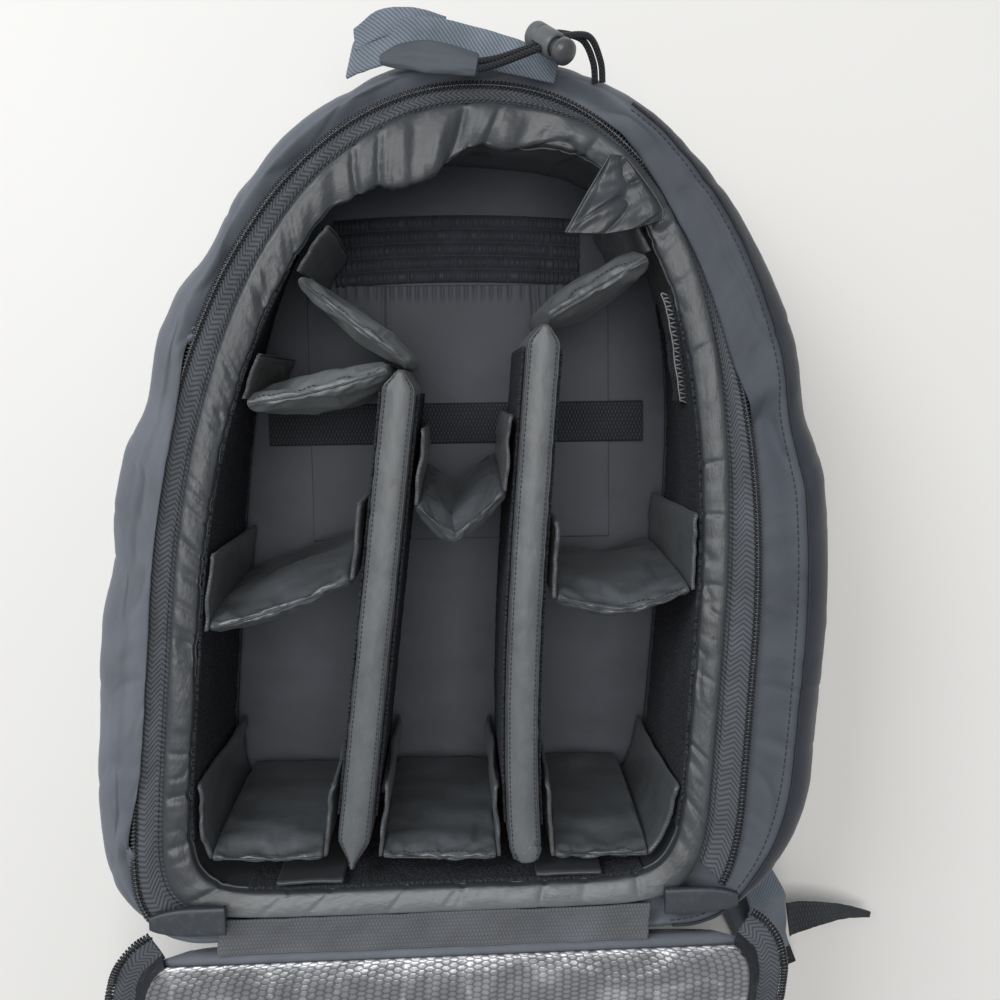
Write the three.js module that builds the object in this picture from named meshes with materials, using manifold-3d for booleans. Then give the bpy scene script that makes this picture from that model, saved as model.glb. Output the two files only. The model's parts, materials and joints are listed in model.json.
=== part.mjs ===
// A camera backpack, lying open on its back: padded inside with hook-and-loop dividers, its zipped lid folded
// down over the foot end, and its shoulder straps underneath.
// Millimetres. The origin is the centre of the back pad's flat face, which rests on the ground. +X is to the
// right and +Y towards the head end, both as seen from above, and +Z is up, out of the open mouth.
import * as THREE from "three";
import { mergeVertices } from "three/addons/utils/BufferGeometryUtils.js";
import Module from "manifold-3d";

const wasm = await Module();
wasm.setup();
const rad = THREE.MathUtils.degToRad;
const vector = (x, y, z) => new THREE.Vector3(x, y, z);

// Clearances and facets
const GAP = 0.3; // between pieces that touch
const AROUND = 64; // facets round a whole outline

// Plan outlines. Each is a superellipse that is widest at WIDEST_Y, with its own half width and power on each side
// and its own power towards the foot.
const WIDEST_Y = -75;
const BASE = { left: 136, right: 121, head: 186, foot: -204, leftPower: 3.2, rightPower: 3.2, footPower: 8 };
const INSIDE = { left: 136, right: 121, head: 181, foot: -206, leftPower: 2.1, rightPower: 2.35, footPower: 9 };
const PAD_WALL = 12; // padded wall's thickness: BASE and INSIDE are its inner face at its foot and at its rim
const COIL_LINE = { left: 163, right: 151, head: 203, foot: -229, leftPower: 2.2, rightPower: 2.1, footPower: 8 };
const BELLY = { left: 190, right: 197, head: 222, foot: -245, leftPower: 2.1, rightPower: 2.1, footPower: 4.6 };
const FOOT_SKEW = Math.tan(THREE.MathUtils.degToRad(5.2)); // the foot end lies askew
const SKEW_FROM = -60; // where the skew begins, going to the foot

// Heights above the ground
const HARNESS_THICK = 14.7; // back pad and shoulder straps
const SHELL_WALL = 2.5;
const BACK_FOAM = 10;
const POCKET_SHEET = 1.6;
const WEBBING = 2; // thickness of woven tape
const RIM = { head: 150, foot: 163 }; // top of the padded wall
const SHELL_FLOOR = HARNESS_THICK + GAP;
const BACK_FOAM_FROM = SHELL_FLOOR + SHELL_WALL + GAP;
const INNER_FLOOR = BACK_FOAM_FROM + BACK_FOAM;
const POCKET_FROM = INNER_FLOOR + GAP;
const STRAP_FROM = POCKET_FROM + POCKET_SHEET + GAP;
const DIVIDER_FROM = STRAP_FROM + WEBBING + GAP;

// Shell section. A row's height is a share of the rim's height above the shell's floor, and its reach a share of the
// way from an inner outline out to the belly: the padded base's for the lower rows, the mouth's for the upper.
const SHELL_SECTION = [
  { height: 0.0, from: "base", reach: 0.02 },
  { height: 0.035, from: "base", reach: 0.4 },
  { height: 0.25, from: "base", reach: 0.82 },
  { height: 0.66, from: "base", reach: 1.0 },
  { height: 0.9, from: "mouth", reach: 0.9 },
  { height: 1.0, from: "mouth", reach: 0.66 },
  { height: 0.955, from: "mouth", reach: 0.38 },
  { height: 0.935, from: "mouth", reach: 0.02 },
];
const LIP_ROW = 5; // the rolled lip runs from here to the last row
const FOOT_DIP = { middle: 270, flat: 27, spread: 44, ridge: 0.07, lip: 0.115 }; // the lid leaves over a lower lip
// Dents in the shell's belly: bearing round the outline, half width as an angle, depth as a share of the bulge
const DENTS = [
  { bearing: 147, spread: 9, depth: 0.16 },
  { bearing: 127, spread: 7, depth: 0.14 },
  { bearing: 172, spread: 10, depth: 0.1 },
  { bearing: 38, spread: 12, depth: 0.1 },
  { bearing: 222, spread: 8, depth: 0.12 },
];
// The padded wall in four lengths, by bearing
const WALLS = { left: [116, 226], head: [66, 116], right: [-46, 66], foot: [226, 314] };
const HEAD_STEPS = 22; // facets of the head wall, for its folds
// Folds of the head wall's rim: bearing, half width, and lean inwards as a share of the pad's wall
const HEAD_FOLDS = [
  { bearing: 108, spread: 4, lean: 0.4 },
  { bearing: 99, spread: 11.5, lean: 1.7 },
  { bearing: 88, spread: 6, lean: 0.8 },
];

// Zipper
const ZIP_ENDS = { left: 226, right: -43 }; // bearing of each end of the zipper
const COIL = 4; // width across the coil
const TAPE = 1.2; // tape's thickness

// Interior
const BAND = 1.2; // loop band's thickness
const BAND_FROM = 46; // height of a loop band's lower edge
const BAND_BELOW_RIM = 7;
const DIVIDER_TOP = 155;
const LONG_TOP = 158;
const LONG_THICK = 17;
const FLAP = 2.2; // a divider's end flap
const FLAP_LENGTH = 38;
// The two long dividers: X at the head end and at the foot end, and how late between them X changes
const LONG = {
  left: { headX: -41, footX: -51, headY: 60, power: 1 },
  right: { headX: 29.5, footX: 43, headY: 88, power: 4 },
};
const ROW3 = { y: -191, slope: 0.06 }; // the lowest row of dividers lies askew too
const BACK_TURN = rad(4.8); // the back pocket and its strap are sewn askew

// Lid: it leaves the foot rim, sags to the ground and lies there
const HINGE_WIDTH = 20; // woven tape between the rim and the lid
const HINGE_HALF = 112; // half its length along the rim
const LID = { x: 5, halfWidth: 164, length: 424, widestAt: 150, farPower: 2.2, nearPower: 12 };
const LID_PAD = 11.7;
const LID_LINING = 1.4;
const LID_TAPE = 14; // width of the lid's zipper tape
// Stations along the lid from the hinge: every piece of the lid is cut at these, so they stay parallel
const LID_STATIONS = [
  0, 0.012, 0.033, 0.071, 0.137, 0.212, 0.288, 0.363, 0.439, 0.514, 0.59, 0.66, 0.726, 0.785, 0.84, 0.887, 0.927,
  0.9575, 0.979, 0.993,
].map((share) => share * LID.length);
const LID_DROP = { start: 160, level: 105, landing: 175, run: LID.length - 16 };

// Harness
const BACK_PAD = { width: 112, length: 300, corner: 24 };
const STRAP_WIDTH = 58;
const WEB_WIDTH = 25;

// Draw cord and its lock
const CORD = 3.2; // diameter
const CORD_PITCH = 3.7; // between the two strands
const LOCK = { outer: 13, bore: 9.4, length: 17, floor: 2, travel: 3, rest: 3.3, slotAt: 10 };
const LOCK_AT = vector(19, 218, 171); // where the cords cross the lock's axis
const LOCK_AXIS = vector(0.6, -0.5, 0.62).normalize();
const CORD_RUN = vector(0.783, 0.528, -0.332).normalize();

// Materials
const finish = (color, roughness, metalness = 0) => new THREE.MeshStandardMaterial({ color, roughness, metalness });
const NYLON = finish(0x2c3038, 0.75);
const SATIN = finish(0x3d4043, 0.45);
const LOOP = finish(0x15171c, 0.95);
const TAPE_CLOTH = finish(0x33363b, 0.85);
const BLACK_WEB = finish(0x14161a, 0.8);
const GREY_WEB = finish(0x5f6b78, 0.8);
const FOIL = finish(0x77797c, 0.4, 0.4);
const PLASTIC = finish(0x1c1d20, 0.4);
const DARK_PLASTIC = finish(0x2f3237, 0.5);
const CORD_CLOTH = finish(0x17181b, 0.8);

// Makes a closed geometry from polygons skinned one to the next. An open run is capped at both ends, and a closed
// run joins its last polygon to its first. Faces are turned to point outwards.
function skinned(polygons, closed = false) {
  const count = polygons[0].length;
  const points = polygons.flat();
  const faces = [];
  const bands = closed ? polygons.length : polygons.length - 1;
  for (let i = 0; i < bands; i++) {
    const a = i * count;
    const b = ((i + 1) % polygons.length) * count;
    for (let k = 0; k < count; k++) {
      const next = (k + 1) % count;
      faces.push(a + k, b + k, b + next, a + k, b + next, a + next);
    }
  }
  if (!closed) {
    for (const [i, turn] of [[0, false], [polygons.length - 1, true]]) {
      const middle = points.length;
      points.push(polygons[i].reduce((sum, p) => sum.add(p), vector(0, 0, 0)).divideScalar(count));
      for (let k = 0; k < count; k++) {
        const [p, q] = [i * count + k, i * count + ((k + 1) % count)];
        faces.push(middle, ...(turn ? [q, p] : [p, q]));
      }
    }
  }
  let volume = 0;
  for (let f = 0; f < faces.length; f += 3) {
    const [p, q, r] = [points[faces[f]], points[faces[f + 1]], points[faces[f + 2]]];
    volume += p.dot(vector(0, 0, 0).crossVectors(q, r));
  }
  if (volume < 0) for (let f = 0; f < faces.length; f += 3) [faces[f + 1], faces[f + 2]] = [faces[f + 2], faces[f + 1]];
  const geometry = new THREE.BufferGeometry();
  geometry.setAttribute("position", new THREE.Float32BufferAttribute(points.flatMap((p) => [p.x, p.y, p.z]), 3));
  geometry.setIndex(faces);
  return geometry;
}

// The solid of a closed geometry, for joining and cutting.
function solid(geometry) {
  const bare = geometry.clone();
  bare.deleteAttribute("normal");
  bare.deleteAttribute("uv");
  const merged = mergeVertices(bare, 1e-4);
  const triVerts = new Uint32Array(merged.index.array);
  return new wasm.Manifold(new wasm.Mesh({ numProp: 3, vertProperties: merged.attributes.position.array, triVerts }));
}

function geometryOf(made) {
  const mesh = made.getMesh();
  const geometry = new THREE.BufferGeometry();
  geometry.setAttribute("position", new THREE.Float32BufferAttribute(mesh.vertProperties, 3));
  geometry.setIndex([...mesh.triVerts]);
  return geometry;
}

const backpack = new THREE.Group();

function add(name, geometry, material) {
  const mesh = new THREE.Mesh(geometry, material);
  mesh.name = name;
  backpack.add(mesh);
  return mesh;
}

// Plan outlines

const grown = (outline, by) => ({
  ...outline,
  left: outline.left + by,
  right: outline.right + by,
  head: outline.head + by,
  foot: outline.foot - by,
});
const BASE_BACK = grown(BASE, PAD_WALL);
const INSIDE_BACK = grown(INSIDE, PAD_WALL);
const SHELL_BASE = grown(BASE_BACK, 3);

// An outline's distance from the middle at a bearing, in radians.
function radius(outline, bearing) {
  const [c, s] = [Math.cos(bearing), Math.sin(bearing)];
  const half = c < 0 ? outline.left : outline.right;
  const reach = s < 0 ? WIDEST_Y - outline.foot : outline.head - WIDEST_Y;
  const headPower = c < 0 ? outline.leftPower : outline.rightPower;
  const power = s < 0 ? outline.footPower : headPower;
  return ((Math.abs(c) / half) ** power + (Math.abs(s) / reach) ** power) ** (-1 / power);
}

// How far a point is moved along Y by the skew of the foot end.
function skew(x, y) {
  const share = THREE.MathUtils.clamp((SKEW_FROM - y) / (SKEW_FROM - INSIDE.foot), 0, 1);
  return FOOT_SKEW * x * share * share * (3 - 2 * share);
}

function at(bearing, r, z) {
  const [x, y] = [r * Math.cos(bearing), WIDEST_Y + r * Math.sin(bearing)];
  return vector(x, y + skew(x, y), z);
}

const rimHeight = (y) =>
  THREE.MathUtils.lerp(RIM.foot, RIM.head, THREE.MathUtils.clamp((y - INSIDE.foot) / (INSIDE.head - INSIDE.foot), 0, 1));
const yAt = (outline, bearing) => WIDEST_Y + radius(outline, bearing) * Math.sin(bearing);

// Bearings that cut the belly's outline into equal lengths.
function evenBearings(count) {
  const fine = 1440;
  const place = (i) => at((2 * Math.PI * i) / fine, radius(BELLY, (2 * Math.PI * i) / fine), 0);
  const lengths = [0];
  for (let i = 1; i <= fine; i++) lengths.push(lengths[i - 1] + place(i).distanceTo(place(i - 1)));
  const found = [];
  for (let k = 0, i = 0; k < count; k++) {
    while (lengths[i + 1] < (lengths[fine] * k) / count) i++;
    const over = ((lengths[fine] * k) / count - lengths[i]) / (lengths[i + 1] - lengths[i]);
    found.push((2 * Math.PI * (i + over)) / fine);
  }
  return found;
}
const RING = evenBearings(AROUND);

// The ring's bearings nearest to `from`, nearest to `to`, and all between them, in degrees given.
function span(from, to) {
  const turns = [-2 * Math.PI, 0, 2 * Math.PI].flatMap((turn) => RING.map((b) => b + turn));
  const nearest = (angle) => turns.reduce((best, b) => (Math.abs(b - angle) < Math.abs(best - angle) ? b : best));
  const [first, last] = [nearest(rad(from)), nearest(rad(to))];
  return turns.filter((b) => b > first - 1e-9 && b < last + 1e-9);
}

// A smooth bump of height 1 at a bearing, falling to 0 at its spread.
function bump(bearing, row) {
  const away = Math.abs(((THREE.MathUtils.radToDeg(bearing) - row.bearing + 540) % 360) - 180) / row.spread;
  return away < 1 ? (1 + Math.cos(Math.PI * away)) / 2 : 0;
}

// Shell: a bowl of coated nylon whose lip rolls inwards to the zipper

// The mouth that the lip rolls in to: the back of the padded wall a little below its rim.
const MOUTH_SHARE = 0.84;
const mouthRadius = (b) => THREE.MathUtils.lerp(radius(BASE_BACK, b), radius(INSIDE_BACK, b), MOUTH_SHARE) + 1.4;

const degrees = (bearing) => ((THREE.MathUtils.radToDeg(bearing) % 360) + 360) % 360;

function shellSection(bearing) {
  const inner = { base: radius(SHELL_BASE, bearing), mouth: mouthRadius(bearing) };
  const dent = DENTS.reduce((sum, row) => sum + row.depth * bump(bearing, row), 0);
  const belly = THREE.MathUtils.lerp(radius(BELLY, bearing), inner.mouth, dent);
  const height = rimHeight(yAt(BELLY, bearing)) - SHELL_FLOOR;
  const away = Math.abs(degrees(bearing) - FOOT_DIP.middle);
  const dip = 1 - THREE.MathUtils.smoothstep(away, FOOT_DIP.flat, FOOT_DIP.spread);
  return SHELL_SECTION.map((row, i) => {
    const lowered = i >= LIP_ROW ? FOOT_DIP.lip : i === LIP_ROW - 1 ? FOOT_DIP.ridge : 0;
    const share = row.height - lowered * dip;
    return [THREE.MathUtils.lerp(inner[row.from], belly, row.reach), SHELL_FLOOR + height * share];
  });
}

// The shell's outer radius at a height on its belly.
function shellRadius(bearing, z) {
  const section = shellSection(bearing);
  const i = section.findIndex((row) => row[1] >= z);
  const share = (z - section[i - 1][1]) / (section[i][1] - section[i - 1][1]);
  return THREE.MathUtils.lerp(section[i - 1][0], section[i][0], share);
}

// A section moved by a distance to its left, corner by corner.
function offset(section, distance) {
  return section.map(([r, z], i) => {
    const [before, after] = [section[Math.max(i - 1, 0)], section[Math.min(i + 1, section.length - 1)]];
    const [dr, dz] = [after[0] - before[0], after[1] - before[1]];
    const length = Math.hypot(dr, dz);
    return [r - (dz / length) * distance, z + (dr / length) * distance];
  });
}

function shell() {
  const outside = RING.map(shellSection);
  const inside = outside.map((section) => {
    const moved = offset(section, SHELL_WALL);
    moved[0] = [section[0][0] - SHELL_WALL, SHELL_FLOOR + SHELL_WALL];
    return moved;
  });
  const ring = (sections, k) => sections.map((section, i) => at(RING[i], ...section[k]));
  const rows = SHELL_SECTION.map((_, k) => k);
  return skinned([...rows.map((k) => ring(outside, k)), ...rows.reverse().map((k) => ring(inside, k))]);
}
add("shell", shell(), NYLON);

// Padded back and wall

function plate(outline, from, to, soften) {
  const ring = (inset, z) => RING.map((b) => at(b, radius(outline, b) - inset, z));
  return skinned([ring(soften, from), ring(0, from + soften), ring(0, to - soften), ring(soften, to)]);
}
add("back_foam", plate(grown(BASE_BACK, -1), BACK_FOAM_FROM, INNER_FLOOR, 2), SATIN);

// Inward lean of the head wall at a bearing, full at the rim.
const headLean = (bearing) => HEAD_FOLDS.reduce((sum, row) => sum + row.lean * bump(bearing, row), 0) * PAD_WALL;

// The padded wall's radius at a height: its inner face, or its back.
function wallRadius(bearing, height, back = false) {
  const rim = rimHeight(yAt(INSIDE, bearing));
  const share = THREE.MathUtils.clamp((height - INNER_FLOOR) / (rim - INNER_FLOOR), 0, 1);
  const lean = headLean(bearing) * share * share;
  if (back) return THREE.MathUtils.lerp(radius(BASE_BACK, bearing), radius(INSIDE_BACK, bearing), share) - lean * 0.4;
  return THREE.MathUtils.lerp(radius(BASE, bearing), radius(INSIDE, bearing), share) - lean;
}

const WALL_MIDDLE = 0.6;
function wall(side) {
  const soften = PAD_WALL * 0.3;
  let bearings = span(...WALLS[side]);
  if (side === "head") {
    const [first, last] = [bearings[0], bearings.at(-1)];
    bearings = Array.from({ length: HEAD_STEPS + 1 }, (_, i) => THREE.MathUtils.lerp(first, last, i / HEAD_STEPS));
  }
  const trim = GAP / 2 / PAD_WALL / 10; // clears the next length of wall
  bearings[0] += trim;
  bearings[bearings.length - 1] -= trim;
  return skinned(bearings.map((b) => {
    const rim = rimHeight(yAt(INSIDE, b));
    const low = INNER_FLOOR + GAP;
    const middle = THREE.MathUtils.lerp(low, rim, WALL_MIDDLE);
    return [
      at(b, wallRadius(b, low), low),
      at(b, wallRadius(b, middle), middle),
      at(b, wallRadius(b, rim - soften), rim - soften),
      at(b, wallRadius(b, rim) + soften, rim),
      at(b, wallRadius(b, rim, true) - soften, rim),
      at(b, wallRadius(b, rim - soften, true), rim - soften),
      at(b, wallRadius(b, low, true), low),
    ];
  }));
}
for (const side of Object.keys(WALLS)) add(`padded_wall_${side}`, wall(side), SATIN);

// Loop bands on the padded wall, from one bearing to another
function wallBand(from, to) {
  return skinned(span(from, to).map((b) => {
    const rim = rimHeight(yAt(INSIDE, b));
    const levels = [BAND_FROM, THREE.MathUtils.lerp(INNER_FLOOR + GAP, rim, WALL_MIDDLE), rim - BAND_BELOW_RIM];
    const side = (away) => levels.map((z) => at(b, wallRadius(b, z) - away, z));
    return [...side(1.5 * GAP), ...side(1.5 * GAP + BAND).reverse()];
  }));
}
add("loop_band_left", wallBand(119, 218), LOOP);
add("loop_band_right", wallBand(-41, 61), LOOP);
add("loop_band_foot", wallBand(231, 309), LOOP);

// Zipper on the bag: tape folded outwards from the padded wall over the shell's lip, coil on its outer edge

const ZIP_BEARINGS = span(ZIP_ENDS.right, ZIP_ENDS.left);

// Height of the shell's outer face at a radius, over the rolled lip.
function lipHeight(bearing, r) {
  const lip = shellSection(bearing).slice(LIP_ROW).reverse();
  const i = r < lip[1][0] ? 0 : 1;
  return THREE.MathUtils.mapLinear(r, lip[i][0], lip[i + 1][0], lip[i][1], lip[i + 1][1]);
}

function bodyTape() {
  return skinned(ZIP_BEARINGS.map((b) => {
    const start = mouthRadius(b) - 2 * GAP;
    const end = radius(COIL_LINE, b) - COIL / 2 - GAP;
    const low = lipHeight(b, mouthRadius(b)) + 2 * GAP;
    const high = lipHeight(b, end) + 2 * GAP;
    return [at(b, start, low), at(b, end, high), at(b, end, high + TAPE), at(b, start, low + TAPE)];
  }));
}
add("body_zip_tape", bodyTape(), TAPE_CLOTH);

function bodyCoil() {
  return skinned(ZIP_BEARINGS.map((b) => {
    const r = radius(COIL_LINE, b);
    const half = COIL / 2;
    const z = lipHeight(b, r) + half + 3 * GAP;
    return [at(b, r - half, z), at(b, r, z - half), at(b, r + half, z), at(b, r, z + half)];
  }));
}
add("body_zip_coil", bodyCoil(), PLASTIC);

// Dividers

// A slab that follows stations {x, y, thick} seen from above, between two heights. It leans so that its foot lies
// `lean` away from its top edge, and its faces belly out between the two.
function slab(stations, from, to, lean = { x: 0, y: 0 }) {
  const profile = [
    { side: -0.55, height: 0 },
    { side: -0.95, height: 0.3 },
    { side: -1, height: 0.8 },
    { side: -0.7, height: 0.965 },
    { side: 0, height: 1 },
    { side: 0.7, height: 0.965 },
    { side: 1, height: 0.8 },
    { side: 0.95, height: 0.3 },
    { side: 0.55, height: 0 },
  ];
  const sections = stations.map((here, i) => {
    const [before, after] = [stations[Math.max(i - 1, 0)], stations[Math.min(i + 1, stations.length - 1)]];
    const toBefore = new THREE.Vector2(here.x - before.x, here.y - before.y);
    const toAfter = new THREE.Vector2(after.x - here.x, after.y - here.y);
    const along = toBefore.normalize().add(toAfter.normalize()).normalize();
    return profile.map((p) => {
      const out = (p.side * here.thick) / 2;
      const drop = 1 - p.height;
      const z = THREE.MathUtils.lerp(from, to, p.height);
      return vector(here.x - along.y * out + lean.x * drop, here.y + along.x * out + lean.y * drop, z);
    });
  });
  return skinned(sections);
}

// X of a long divider at a Y, and of the padded wall's inner face, which is kept clear of at every height.
function longX(side, y) {
  const { headX, footX, headY, power } = LONG[side];
  const share = THREE.MathUtils.clamp((headY - y) / (headY - INSIDE.foot), 0, 1);
  return THREE.MathUtils.lerp(headX, footX, share ** power);
}
function wallX(side, y) {
  const rings = [BASE, INSIDE].map((outline) => RING.map((b) => at(b, radius(outline, b), 0)));
  const crossings = rings.map((ring) => ring.reduce((best, p, i) => {
    const q = ring[(i + 1) % ring.length];
    if ((p.y - y) * (q.y - y) > 0 || Math.sign(p.x + q.x) !== side || Math.abs(q.y - p.y) < 0.5) return best;
    return Math.max(best, Math.abs(THREE.MathUtils.mapLinear(y, p.y, q.y, p.x, q.x)));
  }, 0));
  return Math.min(...crossings);
}
const BESIDE_WALL = BAND + 2 * GAP + FLAP / 2 + 0.25;
const BESIDE_LONG = LONG_THICK / 2 + BAND + 2 * GAP + FLAP / 2 + 1.2;
const FACES = {
  leftWall: (y) => -wallX(-1, y) + BESIDE_WALL,
  leftOfLeft: (y) => longX("left", y) - BESIDE_LONG,
  rightOfLeft: (y) => longX("left", y) + BESIDE_LONG,
  leftOfRight: (y) => longX("right", y) - BESIDE_LONG,
  rightOfRight: (y) => longX("right", y) + BESIDE_LONG,
  rightWall: (y) => wallX(1, y) - BESIDE_WALL,
};

// A cross divider: a padded slab between two faces, with a flap at each end that lies on its face towards the head.
// fromY and toY are its ends, sag is how far its middle lies towards the foot, and peak is where along it that is.
function crossDivider(row) {
  const [startX, endX] = [FACES[row.from](row.fromY), FACES[row.to](row.toY)];
  const inward = FLAP / 2 + 0.6;
  const slabSteps = [0.02, 0.14, 0.32, 0.5, 0.68, 0.86, 0.98];
  const peak = row.peak ?? 0.5;
  const stations = [
    { x: FACES[row.from](row.fromY + FLAP_LENGTH), y: row.fromY + FLAP_LENGTH, thick: FLAP },
    { x: FACES[row.from](row.fromY + FLAP_LENGTH / 2), y: row.fromY + FLAP_LENGTH / 2, thick: FLAP },
    { x: startX, y: row.fromY + FLAP, thick: FLAP },
  ];
  for (const share of slabSteps) {
    const towards = share < peak ? share / peak : (1 - share) / (1 - peak);
    const bow = row.pointed ? towards : Math.sin((Math.PI / 2) * towards);
    stations.push({
      x: THREE.MathUtils.lerp(startX + inward, endX - inward, share),
      y: THREE.MathUtils.lerp(row.fromY, row.toY, share) - row.sag * bow,
      thick: Math.max(FLAP, row.thick * Math.sin(Math.PI * share) ** 0.4),
    });
  }
  stations.push(
    { x: endX, y: row.toY + FLAP, thick: FLAP },
    { x: FACES[row.to](row.toY + FLAP_LENGTH / 2), y: row.toY + FLAP_LENGTH / 2, thick: FLAP },
    { x: FACES[row.to](row.toY + FLAP_LENGTH), y: row.toY + FLAP_LENGTH, thick: FLAP },
  );
  return slab(stations, DIVIDER_FROM, DIVIDER_TOP, { x: 0, y: row.lean });
}

const row3 = (x) => ROW3.y + ROW3.slope * x;
const CROSS_DIVIDERS = [
  { name: "divider_left_middle", from: "leftWall", to: "leftOfLeft", fromY: -78, toY: -47, sag: 3, thick: 17, lean: 8 },
  { name: "divider_left_low", from: "leftWall", to: "leftOfLeft", fromY: row3(-128), toY: row3(-60), sag: 1,
    thick: 14, lean: 6 },
  { name: "divider_middle_v", from: "rightOfLeft", to: "leftOfRight", fromY: -7, toY: 3, sag: 21, thick: 13, lean: 12,
    pointed: true, peak: 0.47 },
  { name: "divider_middle_low", from: "rightOfLeft", to: "leftOfRight", fromY: row3(-30), toY: row3(25), sag: 1,
    thick: 14, lean: 8 },
  { name: "divider_right_middle", from: "rightOfRight", to: "rightWall", fromY: -50, toY: -41, sag: 9, thick: 15,
    lean: 8 },
  { name: "divider_right_low", from: "rightOfRight", to: "rightWall", fromY: row3(55), toY: row3(115), sag: 0,
    thick: 12, lean: 10 },
];
for (const row of CROSS_DIVIDERS) add(row.name, crossDivider(row), SATIN);

// The two long dividers, each with a tab that turns along the foot wall. Their bands are cut at the same stations.
const LONG_STATIONS = (side) => [LONG[side].headY - 12, LONG[side].headY / 2, -60, -115, -150, -174];
function longDivider(side, turn) {
  const footY = Math.max(BASE.foot, INSIDE.foot) + BAND + 2 * GAP + FLAP / 2 + 0.9;
  const onFoot = (x, y) => y + skew(x, y);
  const tabX = (share) => longX(side, footY) + turn * share * FLAP_LENGTH;
  const { headY } = LONG[side];
  const stations = [
    { x: longX(side, headY), y: headY, thick: 4 },
    ...LONG_STATIONS(side).map((y) => ({ x: longX(side, y), y, thick: LONG_THICK })),
    { x: longX(side, footY + 13), y: onFoot(longX(side, footY), footY + 13), thick: LONG_THICK * 0.6 },
    { x: longX(side, footY + 5), y: onFoot(longX(side, footY), footY + 5), thick: FLAP },
    { x: tabX(0.15), y: onFoot(tabX(0.15), footY), thick: FLAP },
    { x: tabX(1), y: onFoot(tabX(1), footY), thick: FLAP },
  ];
  return slab(stations, DIVIDER_FROM, LONG_TOP);
}
add("long_divider_left", longDivider("left", -1), SATIN);
add("long_divider_right", longDivider("right", 1), SATIN);

// Loop bands on both faces of the long dividers
function dividerBand(side, turn) {
  const away = LONG_THICK / 2 + GAP;
  const [low, high] = [BAND_FROM, DIVIDER_TOP - BAND_BELOW_RIM];
  return skinned(LONG_STATIONS(side).map((y) => {
    const x = (out) => longX(side, y) + turn * (away + out);
    return [vector(x(0), y, low), vector(x(0), y, high), vector(x(BAND), y, high), vector(x(BAND), y, low)];
  }));
}
add("loop_band_left_divider_out", dividerBand("left", -1), LOOP);
add("loop_band_left_divider_in", dividerBand("left", 1), LOOP);
add("loop_band_right_divider_in", dividerBand("right", -1), LOOP);
add("loop_band_right_divider_out", dividerBand("right", 1), LOOP);

// Three slanted dividers at the head, each pinched where it meets a long divider and flapped at the wall
const leftHead = { x: LONG.left.headX, y: LONG.left.headY };
const rightHead = { x: LONG.right.headX, y: LONG.right.headY };
const SLANT_TOP = DIVIDER_TOP - 3.1;
function slanted({ x, y, wallSide, wallY, thick, sag }) {
  const face = (at) => wallSide * (wallX(wallSide, at) - BESIDE_WALL);
  const stations = [0, 0.12, 0.3, 0.5, 0.7, 0.88, 0.985].map((share) => ({
    x: THREE.MathUtils.lerp(x, face(wallY) - wallSide * 2, share),
    y: THREE.MathUtils.lerp(y, wallY - 1, share) - sag * Math.sin(Math.PI * share),
    thick: Math.max(FLAP, thick * Math.sin(Math.PI * THREE.MathUtils.clamp(share, 0.03, 0.97)) ** 0.5),
  }));
  for (const share of [0.08, 0.45, 0.8]) {
    const up = wallY + share * FLAP_LENGTH * 0.8;
    stations.push({ x: face(up), y: up, thick: FLAP });
  }
  return slab(stations, DIVIDER_FROM, SLANT_TOP);
}
const SLANTED_DIVIDERS = [
  { name: "divider_head_left", x: leftHead.x + 4, y: leftHead.y + 3.6, wallSide: -1, wallY: 103, thick: 13, sag: 2 },
  { name: "divider_left_high", x: leftHead.x - 6.5, y: leftHead.y - 1, wallSide: -1, wallY: 38, thick: 19, sag: 2 },
  { name: "divider_head_right", x: rightHead.x + 1, y: rightHead.y + 3.6, wallSide: 1, wallY: 126, thick: 22, sag: 0 },
];
for (const row of SLANTED_DIVIDERS) add(row.name, slanted(row), SATIN);

// The end flap of the right slanted divider, folded up over the head wall's rim
function headFlap() {
  const z = RIM.head + 2.2;
  const [thick, corner] = [3.4, [[36, 133], [44, 150], [55, 172], [63, 172], [82, 151], [84, 143], [60, 136]]];
  const ring = (h) => corner.map(([x, y]) => vector(x, y, z + h));
  return skinned([ring(0), ring(thick)]);
}
add("head_flap", headFlap(), SATIN);

// Back pocket with its gathered elastic top, and the woven strap across it

function box(width, length, from, to, x, y, turn = 0) {
  const shape = new THREE.BoxGeometry(width, length, to - from);
  shape.rotateZ(turn);
  shape.translate(x, y, (from + to) / 2);
  return shape;
}
const POCKET = { halfWidth: 92, top: 116, foot: -40, x: -6 };
const pocketLength = POCKET.top - POCKET.foot;
add("pocket_sheet", box(2 * POCKET.halfWidth, pocketLength, POCKET_FROM, POCKET_FROM + POCKET_SHEET, POCKET.x,
  POCKET.foot + pocketLength / 2).rotateZ(BACK_TURN), SATIN);

const GATHER = { halfWidth: 74, rows: 5, pitch: 8, rise: 2.6 };
function gatheredBand() {
  const profile = [];
  const start = POCKET.top + GAP;
  const end = start + GATHER.rows * GATHER.pitch;
  for (let i = 0; i < GATHER.rows; i++) {
    const y = start + i * GATHER.pitch;
    profile.push([y, POCKET_SHEET], [y + GATHER.pitch / 2, POCKET_SHEET + GATHER.rise]);
  }
  profile.push([end, POCKET_SHEET], [end, 0], [start, 0]);
  const section = new THREE.Shape(profile.map(([y, z]) => new THREE.Vector2(y, POCKET_FROM + z)));
  return new THREE.ExtrudeGeometry(section, { depth: 2 * GATHER.halfWidth, bevelEnabled: false })
    .applyMatrix4(new THREE.Matrix4().makeBasis(vector(0, 1, 0), vector(0, 0, 1), vector(1, 0, 0)))
    .translate(POCKET.x - GATHER.halfWidth, 0, 0)
    .rotateZ(BACK_TURN);
}
add("gathered_band", gatheredBand(), SATIN);

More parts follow.
